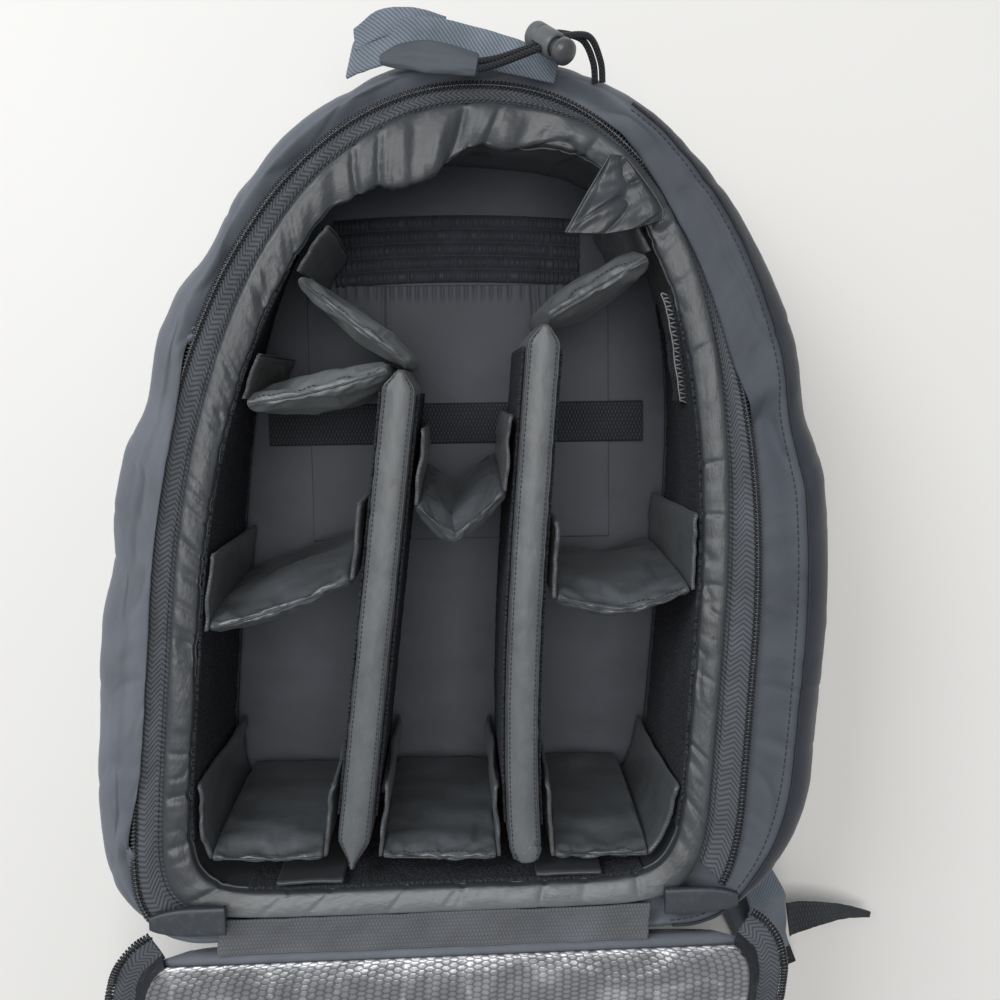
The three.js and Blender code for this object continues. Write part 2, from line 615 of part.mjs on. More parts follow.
const STRAP = { x: -8, y: 32, halfLength: 115 };
add("cross_strap", box(2 * STRAP.halfLength, WEB_WIDTH, STRAP_FROM, STRAP_FROM + WEBBING, STRAP.x, STRAP.y)
  .rotateZ(BACK_TURN), BLACK_WEB);

// Hook strip that hangs beside the right wall
function hookStrip() {
  const strip = { headY: 108, footY: 54, width: 20, thick: 2.2, top: 141, drop: 12 };
  return skinned([0, 0.25, 0.5, 0.75, 1].map((share) => {
    const y = THREE.MathUtils.lerp(strip.headY, strip.footY, share);
    const x = wallX(1, y) - BAND + 3 * GAP;
    const top = strip.top - strip.drop * share;
    return [
      vector(x, y, top),
      vector(x - strip.thick, y, top),
      vector(x - strip.thick - 3, y, top - strip.width),
      vector(x - 3, y, top - strip.width),
    ];
  }));
}
add("hook_strip", hookStrip(), LOOP);

// Lid

const hingeY = INSIDE_BACK.foot - GAP;
const lidStart = hingeY - HINGE_WIDTH;
const drop = new THREE.CubicBezierCurve(
  new THREE.Vector2(lidStart - GAP, LID_DROP.start),
  new THREE.Vector2(lidStart - LID_DROP.level, LID_DROP.start),
  new THREE.Vector2(lidStart - LID_DROP.run + LID_DROP.landing, LID_PAD + GAP),
  new THREE.Vector2(lidStart - LID_DROP.run, LID_PAD + GAP),
);
const dropLength = drop.getLength();

// A point of the lid: x across it, s along it from the hinge, h above its pad.
function onLid(x, s, h) {
  const share = THREE.MathUtils.clamp(s / dropLength, 0, 1);
  const [p, t] = [drop.getPointAt(share), drop.getTangentAt(share)];
  const past = s - share * dropLength;
  const y = p.x + t.x * past + t.y * h;
  return vector(x + LID.x, y + FOOT_SKEW * (x + LID.x), p.y + t.y * past - t.x * h);
}

// The lid's half width at a station.
function lidHalf(s) {
  const [reach, power] = s > LID.widestAt ? [LID.length - LID.widestAt, LID.farPower] : [LID.widestAt + 2, LID.nearPower];
  return LID.halfWidth * (1 - (Math.abs(s - LID.widestAt) / reach) ** power) ** (1 / power);
}

// A sheet of the lid between two levels, cut at the stations and set in by a distance, with softened edges.
function lidSheet(inset, low, high, soften, stations) {
  return skinned(stations.map((s) => {
    const half = lidHalf(s) - inset;
    const section = [[-1, low], [1, low], [1, high], [-1, high]];
    const corners = section.flatMap(([side, h]) => {
      const inwards = h === low ? soften : -soften;
      const [flat, edge] = [[side * (half - soften), h], [side * half, h + inwards / 2]];
      return (side < 0) === (h === low) ? [edge, flat] : [flat, edge];
    });
    return corners.map(([x, h]) => onLid(x, s, h));
  }));
}
add("lid_pad", lidSheet(0, -LID_PAD, 0, 3, LID_STATIONS), NYLON);
add("lid_lining", lidSheet(4, GAP, GAP + LID_LINING, 0.4, LID_STATIONS.slice(1, -1)), FOIL);

// Zipper tape round the lid's edge, and the coil on its outer edge, open along the hinge
const lidEdge = [...LID_STATIONS.slice(2).map((s) => [-lidHalf(s), s]),
  ...LID_STATIONS.slice(2).toReversed().map((s) => [lidHalf(s), s])];
function lidHoop(from, to, low, high) {
  return skinned(lidEdge.map(([x, s], i) => {
    const [[ax, as], [bx, bs]] = [lidEdge[Math.max(i - 1, 0)], lidEdge[Math.min(i + 1, lidEdge.length - 1)]];
    const length = Math.hypot(bx - ax, bs - as);
    const [nx, ns] = [-(bs - as) / length, (bx - ax) / length];
    return [[from, low], [to, low], [to, high], [from, high]].map(([by, h]) => onLid(x + nx * by, s + ns * by, h));
  }));
}
const tapeLevel = -LID_PAD * 0.5;
add("lid_zip_tape", lidHoop(2 * GAP, LID_TAPE, tapeLevel, tapeLevel + TAPE), TAPE_CLOTH);
add("lid_zip_coil", lidHoop(LID_TAPE + GAP, LID_TAPE + GAP + COIL, tapeLevel - 1.4, tapeLevel + COIL - 1.4), PLASTIC);

// Woven hinge tape between the rim and the lid
function hingeTape() {
  const rim = RIM.foot - 2;
  return skinned([-1, -0.5, 0, 0.5, 1].map((share) => {
    const x = LID.x - 10 + share * HINGE_HALF;
    const edge = [[hingeY - GAP, rim], [hingeY - HINGE_WIDTH / 2, rim - 1.2], [lidStart + GAP, LID_DROP.start]];
    const below = edge.toReversed().map(([y, z]) => [y, z - 2]);
    return [...edge, ...below].map(([y, z]) => vector(x, y + FOOT_SKEW * x, z));
  }));
}
add("hinge_tape", hingeTape(), TAPE_CLOTH);

// Folded tabs that cover the zipper's two ends
const TABS = {
  left: { side: -1, from: 112, width: 38, y: -227, length: 15, thick: 4.4, z: RIM.foot + 3 },
  right: { side: 1, from: 113, width: 38, y: -203, length: 14, thick: 4.4, z: RIM.foot + 2 * GAP },
};
function endTab({ side, from, width, y, length, thick, z }) {
  return skinned([0, 0.2, 0.5, 0.8, 0.94, 1].map((share) => {
    const x = side * (from + width * share);
    const half = (length / 2) * Math.sqrt(1 - (Math.max(0, share - 0.4) / 0.66) ** 2);
    const middle = y + FOOT_SKEW * (x - side * 131);
    return [[-half, 0], [half, 0], [half, thick], [0, thick - 1.2], [-half, thick]].map(
      ([across, h]) => vector(x, middle + across, z + h),
    );
  }));
}
add("zip_end_tab_left", endTab(TABS.left), DARK_PLASTIC);
add("zip_end_tab_right", endTab(TABS.right), DARK_PLASTIC);

// Harness underneath

function backPad() {
  const { width, length, corner } = BACK_PAD;
  const shape = new THREE.Shape();
  const [w, l] = [width / 2, length / 2];
  shape.moveTo(-w + corner, -l);
  shape.lineTo(w - corner, -l);
  shape.absarc(w - corner, -l + corner, corner, -Math.PI / 2, 0);
  shape.lineTo(w, l - corner);
  shape.absarc(w - corner, l - corner, corner, 0, Math.PI / 2);
  shape.lineTo(-w + corner, l);
  shape.absarc(-w + corner, l - corner, corner, Math.PI / 2, Math.PI);
  shape.lineTo(-w, -l + corner);
  shape.absarc(-w + corner, -l + corner, corner, Math.PI, Math.PI * 1.5);
  return new THREE.ExtrudeGeometry(shape, { depth: HARNESS_THICK, bevelEnabled: false, curveSegments: 4 });
}
add("back_pad", backPad(), NYLON);

// A flat strap on the ground that follows plan points, with a softened edge.
function groundStrap(points, width, thick, samples, taper = 1) {
  const curve = new THREE.CatmullRomCurve3(points.map(([x, y]) => vector(x, y, 0)));
  const profile = [[-1, 0.25], [-0.88, 0], [0.88, 0], [1, 0.25], [1, 0.75], [0.88, 1], [-0.88, 1], [-1, 0.75]];
  const sections = [];
  for (let i = 0; i <= samples; i++) {
    const share = i / samples;
    const [p, t] = [curve.getPointAt(share), curve.getTangentAt(share)];
    const half = (width / 2) * THREE.MathUtils.lerp(1, taper, Math.max(0, share - 0.7) / 0.3);
    sections.push(profile.map(([side, h]) => vector(p.x - t.y * side * half, p.y + t.x * side * half, h * thick)));
  }
  return skinned(sections);
}
const besidePad = BACK_PAD.width / 2 + STRAP_WIDTH / 2 + 3;
const STRAP_ROUTES = {
  left: [[-besidePad + 2, 172], [-besidePad - 6, 80], [-besidePad - 14, -40], [-besidePad - 10, -140], [-besidePad, -200]],
  right: [[besidePad - 2, 172], [besidePad + 6, 80], [besidePad + 14, -40], [besidePad + 50, -150],
    [besidePad + 98, -238], [besidePad + 126, -296]],
};
add("shoulder_strap_left", groundStrap(STRAP_ROUTES.left, STRAP_WIDTH, HARNESS_THICK, 12, 0.55), NYLON);
add("shoulder_strap_right", groundStrap(STRAP_ROUTES.right, STRAP_WIDTH, HARNESS_THICK, 16, 0.55), NYLON);

// Ladder buckle at the end of each shoulder strap: a frame with three bars
const BUCKLE = { width: 34, length: 30, thick: 5, rail: 4, bar: 4.5 };
function buckle(x, y, turn, z) {
  const { width, length, thick, rail, bar } = BUCKLE;
  let made = solid(box(width, length, 0, thick, 0, 0));
  const slot = (length - 3 * bar) / 2;
  for (const side of [-1, 1]) {
    const cut = box(width - 2 * rail, slot, -1, thick + 1, 0, side * (slot + bar) / 2);
    made = made.subtract(solid(cut));
  }
  const lip = box(width - 2 * rail, 3, thick - 1, thick + 3, 0, length / 2 - 1.5);
  made = made.add(solid(lip));
  const geometry = geometryOf(made);
  geometry.rotateZ(turn);
  geometry.translate(x, y, z);
  return geometry;
}

// Where a strap ends, and the way it points there.
function strapEnd(side) {
  const points = STRAP_ROUTES[side];
  const [[ax, ay], [bx, by]] = points.slice(-2);
  const way = new THREE.Vector2(bx - ax, by - ay).normalize();
  return { x: bx, y: by, way, turn: Math.atan2(way.y, way.x) + Math.PI / 2 };
}
const beyond = BUCKLE.length / 2 + 2 * GAP;
for (const [side, z] of [["left", 4], ["right", 7]]) {
  const end = strapEnd(side);
  add(`ladder_buckle_${side}`, buckle(end.x + end.way.x * beyond, end.y + end.way.y * beyond, end.turn, z), PLASTIC);
}

// A band of woven tape through points {x, y, z} with a way for its width {wx, wy, wz}; width may change along it.
function band(stations, thick) {
  const sections = stations.map((s, i) => {
    const [a, b] = [stations[Math.max(i - 1, 0)], stations[Math.min(i + 1, stations.length - 1)]];
    const along = vector(b.x - a.x, b.y - a.y, b.z - a.z).normalize();
    const across = vector(s.wx, s.wy, s.wz);
    across.addScaledVector(along, -across.dot(along)).normalize();
    const up = vector(0, 0, 0).crossVectors(across, along).normalize();
    const corner = (side, h) =>
      vector(s.x, s.y, s.z).addScaledVector(across, (side * s.width) / 2).addScaledVector(up, (h * thick) / 2);
    return [corner(-1, -1), corner(1, -1), corner(1, 1), corner(-1, 1)];
  });
  return skinned(sections);
}

// Three-cornered cloth wings at the shell's foot corners, which carry the lower webbing: the right one stands out
// at half height, the left one is tucked under the belly
const WING_THICK = 3;
function wing(from, to, z, tip) {
  const edge = span(from, to).map((b) => {
    const r = Math.max(shellRadius(b, z), shellRadius(b, z + WING_THICK)) + 2 * GAP;
    return at(b, r, 0);
  });
  const ring = (h) => [...edge, vector(...tip, 0)].map((p) => vector(p.x, p.y, z + h));
  return skinned([ring(0), ring(WING_THICK)]);
}
add("corner_wing_right", wing(-47, -36, 58, [203, -243]), BLACK_WEB);
add("corner_wing_left", wing(218, 229, 24, [-164, -238]), BLACK_WEB);

const over = WEBBING / 2 + GAP;
const WEBBING_RIGHT = [
  { x: 186, y: -222, z: 61 + over, wx: 0.9, wy: 0.44, wz: 0, width: 18 },
  { x: 201, y: -249, z: 61 + over, wx: 0.9, wy: 0.44, wz: 0, width: 24 },
  { x: 207, y: -264, z: 46, wx: 0.92, wy: 0.39, wz: 0, width: WEB_WIDTH },
  { x: 216, y: -285, z: 27, wx: 0.92, wy: 0.39, wz: 0, width: WEB_WIDTH },
  { x: 220, y: -298, z: 17.6, wx: 0.9, wy: 0.43, wz: 0, width: WEB_WIDTH },
  { x: 225, y: -309, z: 12 + over, wx: 0.9, wy: 0.43, wz: 0, width: WEB_WIDTH },
];
const WEBBING_TAIL = [
  { x: 228.2, y: -279, z: 28, wx: 0.1, wy: 1, wz: 0, width: 24 },
  { x: 248, y: -275, z: 27, wx: 0, wy: 1, wz: 0, width: 17 },
  { x: 270, y: -275, z: 22, wx: 0, wy: 1, wz: 0, width: 9 },
  { x: 287, y: -278, z: 17, wx: 0, wy: 1, wz: 0, width: 4 },
];
const WEBBING_LEFT = [
  { x: -152, y: -243, z: 23.4 - over, wx: 0.5, wy: 0.86, wz: 0, width: 18 },
  { x: -128, y: -254, z: 14, wx: 0.3, wy: 0.95, wz: 0, width: 20 },
  { x: -106, y: -254, z: 9, wx: 0, wy: 1, wz: 0, width: 20 },
];
add("webbing_right", band(WEBBING_RIGHT, WEBBING), GREY_WEB);
add("webbing_tail", band(WEBBING_TAIL, WEBBING), BLACK_WEB);
add("webbing_left", band(WEBBING_LEFT, WEBBING), GREY_WEB);

// Haul handle: woven tape that arches over the shell's ridge at the head, with a black fold of cloth on it
const ridge = RIM.head + over;
const HANDLE = [
  { x: -78, y: 218, z: 132, wx: 0, wy: 1, wz: 0, width: 20 },
  { x: -72, y: 218, z: 148, wx: 0, wy: 1, wz: 0, width: 20 },
  { x: -60, y: 217.5, z: ridge + 3, wx: 0, wy: 1, wz: 0, width: 20 },
  { x: -30, y: 218, z: ridge + 4, wx: 0, wy: 1, wz: 0, width: 20 },
  { x: 4, y: 218, z: ridge + 2.5, wx: 0, wy: 1, wz: 0, width: 20 },
  { x: 24, y: 216, z: ridge + 0.2, wx: 0, wy: 1, wz: 0, width: 18 },
];
add("haul_handle", band(HANDLE, WEBBING), GREY_WEB);
const FOLD = [
  { x: -46, y: 210, z: 160.4, wx: 0, wy: 1, wz: 0, width: 10 },
  { x: -34, y: 210, z: 160.8, wx: 0, wy: 1, wz: 0, width: 17 },
  { x: -13.4, y: 208, z: 160.8, wx: 0, wy: 1, wz: 0, width: 14 },
];
add("cord_fold", band(FOLD, 6), BLACK_WEB);

// Draw cord: two strands side by side that leave the fold, cross the lock and end on the shell's ridge
const RUNS = [
  { p: [-12.6, 207.5, 160.8], side: [0, -1, 0] },
  { p: [-3, 209, 165.5], side: [0.2, -0.85, 0.5] },
  { p: LOCK_AT.clone().addScaledVector(CORD_RUN, -9).toArray(), side: LOCK_AXIS.toArray() },
  { p: LOCK_AT.toArray(), side: LOCK_AXIS.toArray() },
  { p: LOCK_AT.clone().addScaledVector(CORD_RUN, 9).toArray(), side: LOCK_AXIS.toArray() },
  { p: [38, 224, 161.5], side: [0.75, 0.3, 0.5] },
  { p: [45, 216, 154], side: [1, 0.2, 0] },
  { p: [47, 206.5, RIM.head + CORD / 2 + GAP], side: [1, 0.2, 0] },
];
function strand(turn) {
  const points = RUNS.map(({ p, side }) =>
    vector(...p).addScaledVector(vector(...side).normalize(), (turn * CORD_PITCH) / 2),
  );
  const path = new THREE.CatmullRomCurve3(points, false, "centripetal");
  const section = new THREE.Shape(
    Array.from({ length: 8 }, (_, i) => new THREE.Vector2(Math.cos((i * Math.PI) / 4), Math.sin((i * Math.PI) / 4))
      .multiplyScalar(CORD / 2)),
  );
  return new THREE.ExtrudeGeometry(section, { steps: 14, extrudePath: path, bevelEnabled: false });
}
add("draw_cord_1", strand(1), CORD_CLOTH);
add("draw_cord_2", strand(-1), CORD_CLOTH);

// Cord lock: a barrel and a sprung plunger, both slotted across for the cords
function drum(r, from, to) {
  return new THREE.CylinderGeometry(r, r, to - from, 16).rotateX(Math.PI / 2).translate(0, 0, (from + to) / 2);
}
function placedOnLock(geometry) {
  const turn = new THREE.Matrix4().makeBasis(CORD_RUN, LOCK_AXIS.clone().cross(CORD_RUN), LOCK_AXIS);
  const foot = LOCK_AT.clone().addScaledVector(LOCK_AXIS, -LOCK.slotAt);
  return geometry.applyMatrix4(turn.setPosition(foot));
}
const slotWidth = CORD + 2.4 * GAP;
const slotHalf = (CORD_PITCH + CORD) / 2 + GAP;
const across = 2 * LOCK.outer;
const barrel = solid(drum(LOCK.outer / 2, 0, LOCK.length))
  .subtract(solid(drum(LOCK.bore / 2, LOCK.floor, LOCK.length + 1)))
  .subtract(solid(box(across, slotWidth, LOCK.slotAt - slotHalf, LOCK.slotAt + slotHalf, 0, 0)));
add("cord_lock_barrel", placedOnLock(geometryOf(barrel)), DARK_PLASTIC);

const shaft = { r: LOCK.bore / 2 - GAP, from: LOCK.floor + LOCK.rest, to: LOCK.length + LOCK.rest };
const dome = [
  [0, shaft.from], [shaft.r, shaft.from], [shaft.r, shaft.to], [LOCK.outer / 2 - GAP, shaft.to],
  [LOCK.outer / 2 - GAP, shaft.to + 3.6], [LOCK.outer / 2 - 1.6, shaft.to + 5.4], [2.6, shaft.to + 6.4],
  [0, shaft.to + 6.7],
];
const plunger = solid(new THREE.LatheGeometry(dome.map(([x, y]) => new THREE.Vector2(x, y)), 16).rotateX(Math.PI / 2))
  .subtract(solid(box(across, slotWidth, LOCK.slotAt - slotHalf, LOCK.slotAt + slotHalf + LOCK.travel, 0, 0)));
add("cord_lock_plunger", placedOnLock(geometryOf(plunger)), PLASTIC);

export default backpack;
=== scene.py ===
"""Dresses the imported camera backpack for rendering.

The bag lies open on its back, seen from above. Lengths are millimetres in this file and metres in Blender. The frame
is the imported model's: +X to the right, +Y towards the head end, +Z up, out of the open mouth.
"""

from __future__ import annotations

import json
import logging
import math
import operator
from dataclasses import dataclass, field
from enum import Enum
from functools import reduce
from typing import Sequence

import bpy
import numpy as np
from mathutils import Matrix

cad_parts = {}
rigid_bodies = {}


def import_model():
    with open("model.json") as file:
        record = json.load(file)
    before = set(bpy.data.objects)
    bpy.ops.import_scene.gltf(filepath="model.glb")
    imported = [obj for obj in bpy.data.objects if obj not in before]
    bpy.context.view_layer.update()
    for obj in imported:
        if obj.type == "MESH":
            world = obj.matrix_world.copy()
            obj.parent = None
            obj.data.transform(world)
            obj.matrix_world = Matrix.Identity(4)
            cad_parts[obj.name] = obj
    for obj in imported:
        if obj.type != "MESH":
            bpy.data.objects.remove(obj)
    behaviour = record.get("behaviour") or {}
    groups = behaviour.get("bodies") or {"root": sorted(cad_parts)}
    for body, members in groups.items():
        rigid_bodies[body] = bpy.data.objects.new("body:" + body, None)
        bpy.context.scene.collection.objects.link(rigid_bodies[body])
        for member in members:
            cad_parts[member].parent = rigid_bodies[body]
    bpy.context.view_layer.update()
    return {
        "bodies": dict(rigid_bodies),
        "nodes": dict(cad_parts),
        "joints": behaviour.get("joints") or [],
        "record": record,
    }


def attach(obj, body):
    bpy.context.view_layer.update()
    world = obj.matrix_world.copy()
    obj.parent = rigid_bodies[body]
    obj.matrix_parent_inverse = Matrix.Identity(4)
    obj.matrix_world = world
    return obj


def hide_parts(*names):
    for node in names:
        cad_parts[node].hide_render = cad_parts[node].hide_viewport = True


Array = np.ndarray
log = logging.getLogger("backpack")
MM = 0.001
BAG = "bag"

# Sizes that the solids have too
GAP = 0.3
WIDEST_Y = -75.0
PAD_WALL = 12.0
FOOT_SKEW = math.tan(math.radians(5.2))
SKEW_FROM = -60.0
SHELL_FLOOR = 15.0
INNER_FLOOR = 27.8
POCKET_FROM = 28.1
POCKET_SHEET = 1.6
STRAP_FROM = 30.0
DIVIDER_FROM = 32.3
RIM_HEAD, RIM_FOOT = 150.0, 163.0
DIVIDER_TOP, LONG_TOP, SLANT_TOP = 155.0, 158.0, 151.9
COIL = 4.0
TAPE = 1.2
BAND = 1.2
BAND_FROM = 46.0
BAND_BELOW_RIM = 7.0
LONG_THICK = 17.0
FLAP = 2.2
FLAP_LENGTH = 38.0
BACK_TURN = math.radians(4.8)

# Sizes of the visible pieces alone
BESIDE_WALL = BAND + 2 * GAP + FLAP / 2 + 0.25
FLAP_SHEET = FLAP * 0.8
SHARP = math.radians(40)


# Numbers


def lerp(a: Array | float, b: Array | float, t: Array | float) -> Array:
    """Blend from a to b: a + (b - a) t."""
    return a + (b - a) * t


def ease(t: Array | float) -> Array:
    """Smooth step: t^2 (3 - 2t), with t held between 0 and 1."""
    t = np.clip(t, 0.0, 1.0)
    return t * t * (3 - 2 * t)


def hill(x: Array, middle: float, spread: float, turn: float = 0.0) -> Array:
    """Cosine hill: (1 + cos(pi d / spread)) / 2 with d the distance from the middle, round a turn if one is given."""
    away = np.abs(x - middle)
    if turn:
        away = np.abs((x - middle + 1.5 * turn) % turn - turn / 2)
    return (1 + np.cos(np.pi * np.clip(away / spread, 0, 1))) / 2


def unit(v: Array) -> Array:
    """Vectors at length 1."""
    return v / np.maximum(np.linalg.norm(v, axis=-1, keepdims=True), 1e-12)


def through(points: Array, t: Array, closed: bool = False) -> Array:
    """Catmull-Rom curve through points.

    Args:
        points: (..., k, d) control points; the curve runs along the axis before the last.
        t: (n,) places on the curve, in control points.
        closed: whether the last point is followed by the first.

    Returns:
        (..., n, d) points of the curve.
    """
    count = points.shape[-2]
    t = t % count if closed else np.clip(t, 0, count - 1 - 1e-9)
    whole = np.floor(t).astype(int)
    f = (t - whole)[:, None]
    index = [(whole + o) % count if closed else np.clip(whole + o, 0, count - 1) for o in (-1, 0, 1, 2)]
    a, b, c, d = (points[..., i, :] for i in index)
    return 0.5 * (2 * b + (c - a) * f + (2 * a - 5 * b + 4 * c - d) * f**2 + (3 * b - a - 3 * c + d) * f**3)


def spaced(points: Array, count: int) -> Array:
    """Resample a polyline to points at equal lengths along it."""
    lengths = np.concatenate([[0], np.cumsum(np.linalg.norm(np.diff(points, axis=0), axis=1))])
    wanted = np.linspace(0, lengths[-1], count)
    return np.stack([np.interp(wanted, lengths, points[:, i]) for i in range(points.shape[1])], axis=1)


def length_of(points: Array) -> float:
    """Length of a polyline."""
    return float(np.linalg.norm(np.diff(points, axis=0), axis=1).sum())


class Noise:
    """Smooth lattice noise: random values on whole numbers, blended by t^3 (t (6t - 15) + 10)."""

    def __init__(self, seed: int) -> None:
        """Draw the lattice from a seed."""
        self.values = np.random.default_rng(seed).uniform(-1, 1, (64, 64, 8))

    def __call__(self, x: Array | float, y: Array | float, z: Array | float = 0.0) -> Array:
        """Noise from about -1 to 1 at places given in lattice cells."""
        x, y, z = np.broadcast_arrays(np.asarray(x, float), np.asarray(y, float), np.asarray(z, float))
        whole = [np.floor(c).astype(int) for c in (x, y, z)]
        rest = [c - w for c, w in zip((x, y, z), whole)]
        fade = [r**3 * (r * (6 * r - 15) + 10) for r in rest]
        total = np.zeros(x.shape)
        for i in (0, 1):
            for j in (0, 1):
                for k in (0, 1):
                    weight = 1.0
                    for near, f in zip((i, j, k), fade):
                        weight = weight * (f if near else 1 - f)
                    corner = self.values[(whole[0] + i) % 64, (whole[1] + j) % 64, (whole[2] + k) % 8]
                    total += weight * corner
        return total

    def layered(self, x: Array, y: Array, z: Array | float = 0.0) -> Array:
        """Three octaves: n(p) + n(2p)/2 + n(4p)/4."""
        return self(x, y, z) + self(2 * x, 2 * y, z) / 2 + self(4 * x, 4 * y, z) / 4

    def creases(self, x: Array, y: Array, z: Array | float = 0.0) -> Array:
        """Ridges where the noise crosses 0: (1 - |n|)^4, from 0 to 1."""
        return (1 - np.clip(np.abs(self(x, y, z)), 0, 1)) ** 4


# Meshes


@dataclass
class Patch:
    """Faces to be made into a mesh: points in millimetres, quads, triangles, their UVs in metres, point fields."""

    points: Array
    quads: Array
    triangles: Array
    quad_uv: Array
    triangle_uv: Array
    fields: dict[str, Array] = field(default_factory=dict)

    def __add__(self, other: Patch) -> Patch:
        """Both patches as one."""
        shift = len(self.points)
        names = set(self.fields) | set(other.fields)
        zeros = [np.zeros(len(p.points)) for p in (self, other)]
        return Patch(
            np.concatenate([self.points, other.points]),
            np.concatenate([self.quads, other.quads + shift]),
            np.concatenate([self.triangles, other.triangles + shift]),
            np.concatenate([self.quad_uv, other.quad_uv]),
            np.concatenate([self.triangle_uv, other.triangle_uv]),
            {n: np.concatenate([self.fields.get(n, zeros[0]), other.fields.get(n, zeros[1])]) for n in names},
        )

    def volume(self) -> float:
        """Signed volume: the sum of p . (q x r) / 6 over the triangles."""
        q = self.quads
        faces = np.concatenate([q[:, [0, 1, 2]], q[:, [0, 2, 3]], self.triangles])
        p, q, r = (self.points[faces[:, i]] for i in range(3))
        return float(np.einsum("ij,ij->", p, np.cross(q, r)) / 6)

    def turned_over(self) -> Patch:
        """The same faces, facing the other way."""
        return Patch(
            self.points, self.quads[:, ::-1], self.triangles[:, ::-1], self.quad_uv[:, ::-1],
            self.triangle_uv[:, ::-1], self.fields,
        )


def grid(
    points: Array,
    ring_rows: bool = False,
    ring_columns: bool = False,
    capped: bool = False,
    facing: Sequence[float] | None = None,
    **fields: Array,
) -> Patch:
    """Faces over a grid of points (rows, columns, 3).

    Args:
        points: the grid, in millimetres.
        ring_rows: whether the last row joins the first.
        ring_columns: whether the last column joins the first.
        capped: whether the first and last rows are closed with a fan each.
        facing: the way an open sheet's faces point on the whole; a closed one's point outwards.
        fields: (rows, columns) numbers kept on the points.

    Returns:
        The patch, with UVs that follow the lengths along its middle row and column.
    """
    rows, columns = points.shape[:2]
    around = np.concatenate([points, points[:1]]) if ring_rows else points
    along = np.concatenate([points, points[:, :1]], axis=1) if ring_columns else points
    steps_u = np.linalg.norm(np.diff(around, axis=0), axis=2).mean(axis=1)
    steps_v = np.linalg.norm(np.diff(along, axis=1), axis=2).mean(axis=0)
    u = np.concatenate([[0], np.cumsum(steps_u)]) * MM
    v = np.concatenate([[0], np.cumsum(steps_v)]) * MM
    i, j = np.meshgrid(np.arange(len(u) - 1), np.arange(len(v) - 1), indexing="ij")
    i, j = i.ravel(), j.ravel()
    next_i, next_j = (i + 1) % rows, (j + 1) % columns
    quads = np.stack([i * columns + j, next_i * columns + j, next_i * columns + next_j, i * columns + next_j], 1)
    quad_uv = np.stack([
        np.stack([u[i], v[j]], 1), np.stack([u[i + 1], v[j]], 1), np.stack([u[i + 1], v[j + 1]], 1),
        np.stack([u[i], v[j + 1]], 1),
    ], 1)
    flat = points.reshape(-1, 3)
    values = {name: np.asarray(np.broadcast_to(f, (rows, columns)), float).ravel() for name, f in fields.items()}
    triangles, triangle_uv = np.zeros((0, 3), int), np.zeros((0, 3, 2))
    if capped:
        ends = []
        for row, back in ((0, False), (rows - 1, True)):
            middle = len(flat)
            flat = np.concatenate([flat, points[row].mean(axis=0)[None]])
            values = {n: np.append(f, f[row * columns:(row + 1) * columns].mean()) for n, f in values.items()}
            k = np.arange(columns)
            edge = np.stack([np.full(columns, middle), row * columns + k, row * columns + (k + 1) % columns], 1)
            ends.append(edge[:, ::-1] if back else edge)
        triangles = np.concatenate(ends)
        triangle_uv = (flat[triangles][..., :2] * MM).copy()
    patch = Patch(flat, quads, triangles, quad_uv, triangle_uv, values)
    if facing is None:
        return patch.turned_over() if patch.volume() < 0 else patch
    p, q, r = (flat[quads[:, n]] for n in range(3))
    way = np.cross(q - p, r - p).sum(axis=0)
    return patch.turned_over() if float(way @ np.asarray(facing, float)) < 0 else patch


def normals(points: Array, ring_rows: bool = False, ring_columns: bool = False) -> Array:
    """Unit normals of a grid: the cross product of its two central differences."""
    def slope(axis: int, ring: bool) -> Array:
        """Central difference along an axis."""
        if ring:
            return np.roll(points, -1, axis) - np.roll(points, 1, axis)
        return np.gradient(points, axis=axis)

    return unit(np.cross(slope(0, ring_rows), slope(1, ring_columns)))


def sweep(centres: Array, across: Array, profile: Array) -> Array:
    """Carry a profile along a path.

    Args:
        centres: (n, 3) path.
        across: (n, 3) or (3,) way of the profile's first number, made square to the path.
        profile: (m, 2) or (n, m, 2) numbers across and up from the path.

    Returns:
        (n, m, 3) points: centre + across p0 + (across x along) p1.
    """
    along = unit(np.gradient(centres, axis=0))
    across = np.broadcast_to(np.asarray(across, float), centres.shape)
    across = unit(across - along * np.sum(across * along, axis=1, keepdims=True))
    up = np.cross(across, along)
    profile = np.broadcast_to(profile, (len(centres), *profile.shape[-2:]))
    return centres[:, None] + across[:, None] * profile[..., :1] + up[:, None] * profile[..., 1:]


def tube(path: Array, radius: float | Array, sides: int = 8) -> Array:
    """Round section carried along a path, its frame turned as little as the path allows."""
    along = unit(np.gradient(path, axis=0))
    across = [unit(np.cross(along[0], [0.31, 0.17, 0.93]))]
    for a in along[1:]:
        across.append(unit(across[-1] - a * float(across[-1] @ a)))
    turn = np.linspace(0, 2 * np.pi, sides, endpoint=False)
    profile = np.stack([np.cos(turn), np.sin(turn)], 1)
    return sweep(path, np.array(across), profile * np.reshape(radius, (-1, 1, 1)))


def rod(path: Array, radius: float, sides: int) -> Patch:
    """A tube along a path, closed at both ends."""
    return grid(tube(path, radius, sides), ring_columns=True, capped=True)


def joined(patches: Sequence[Patch]) -> Patch:
    """Patches as one, in their order."""
    return reduce(operator.add, patches)


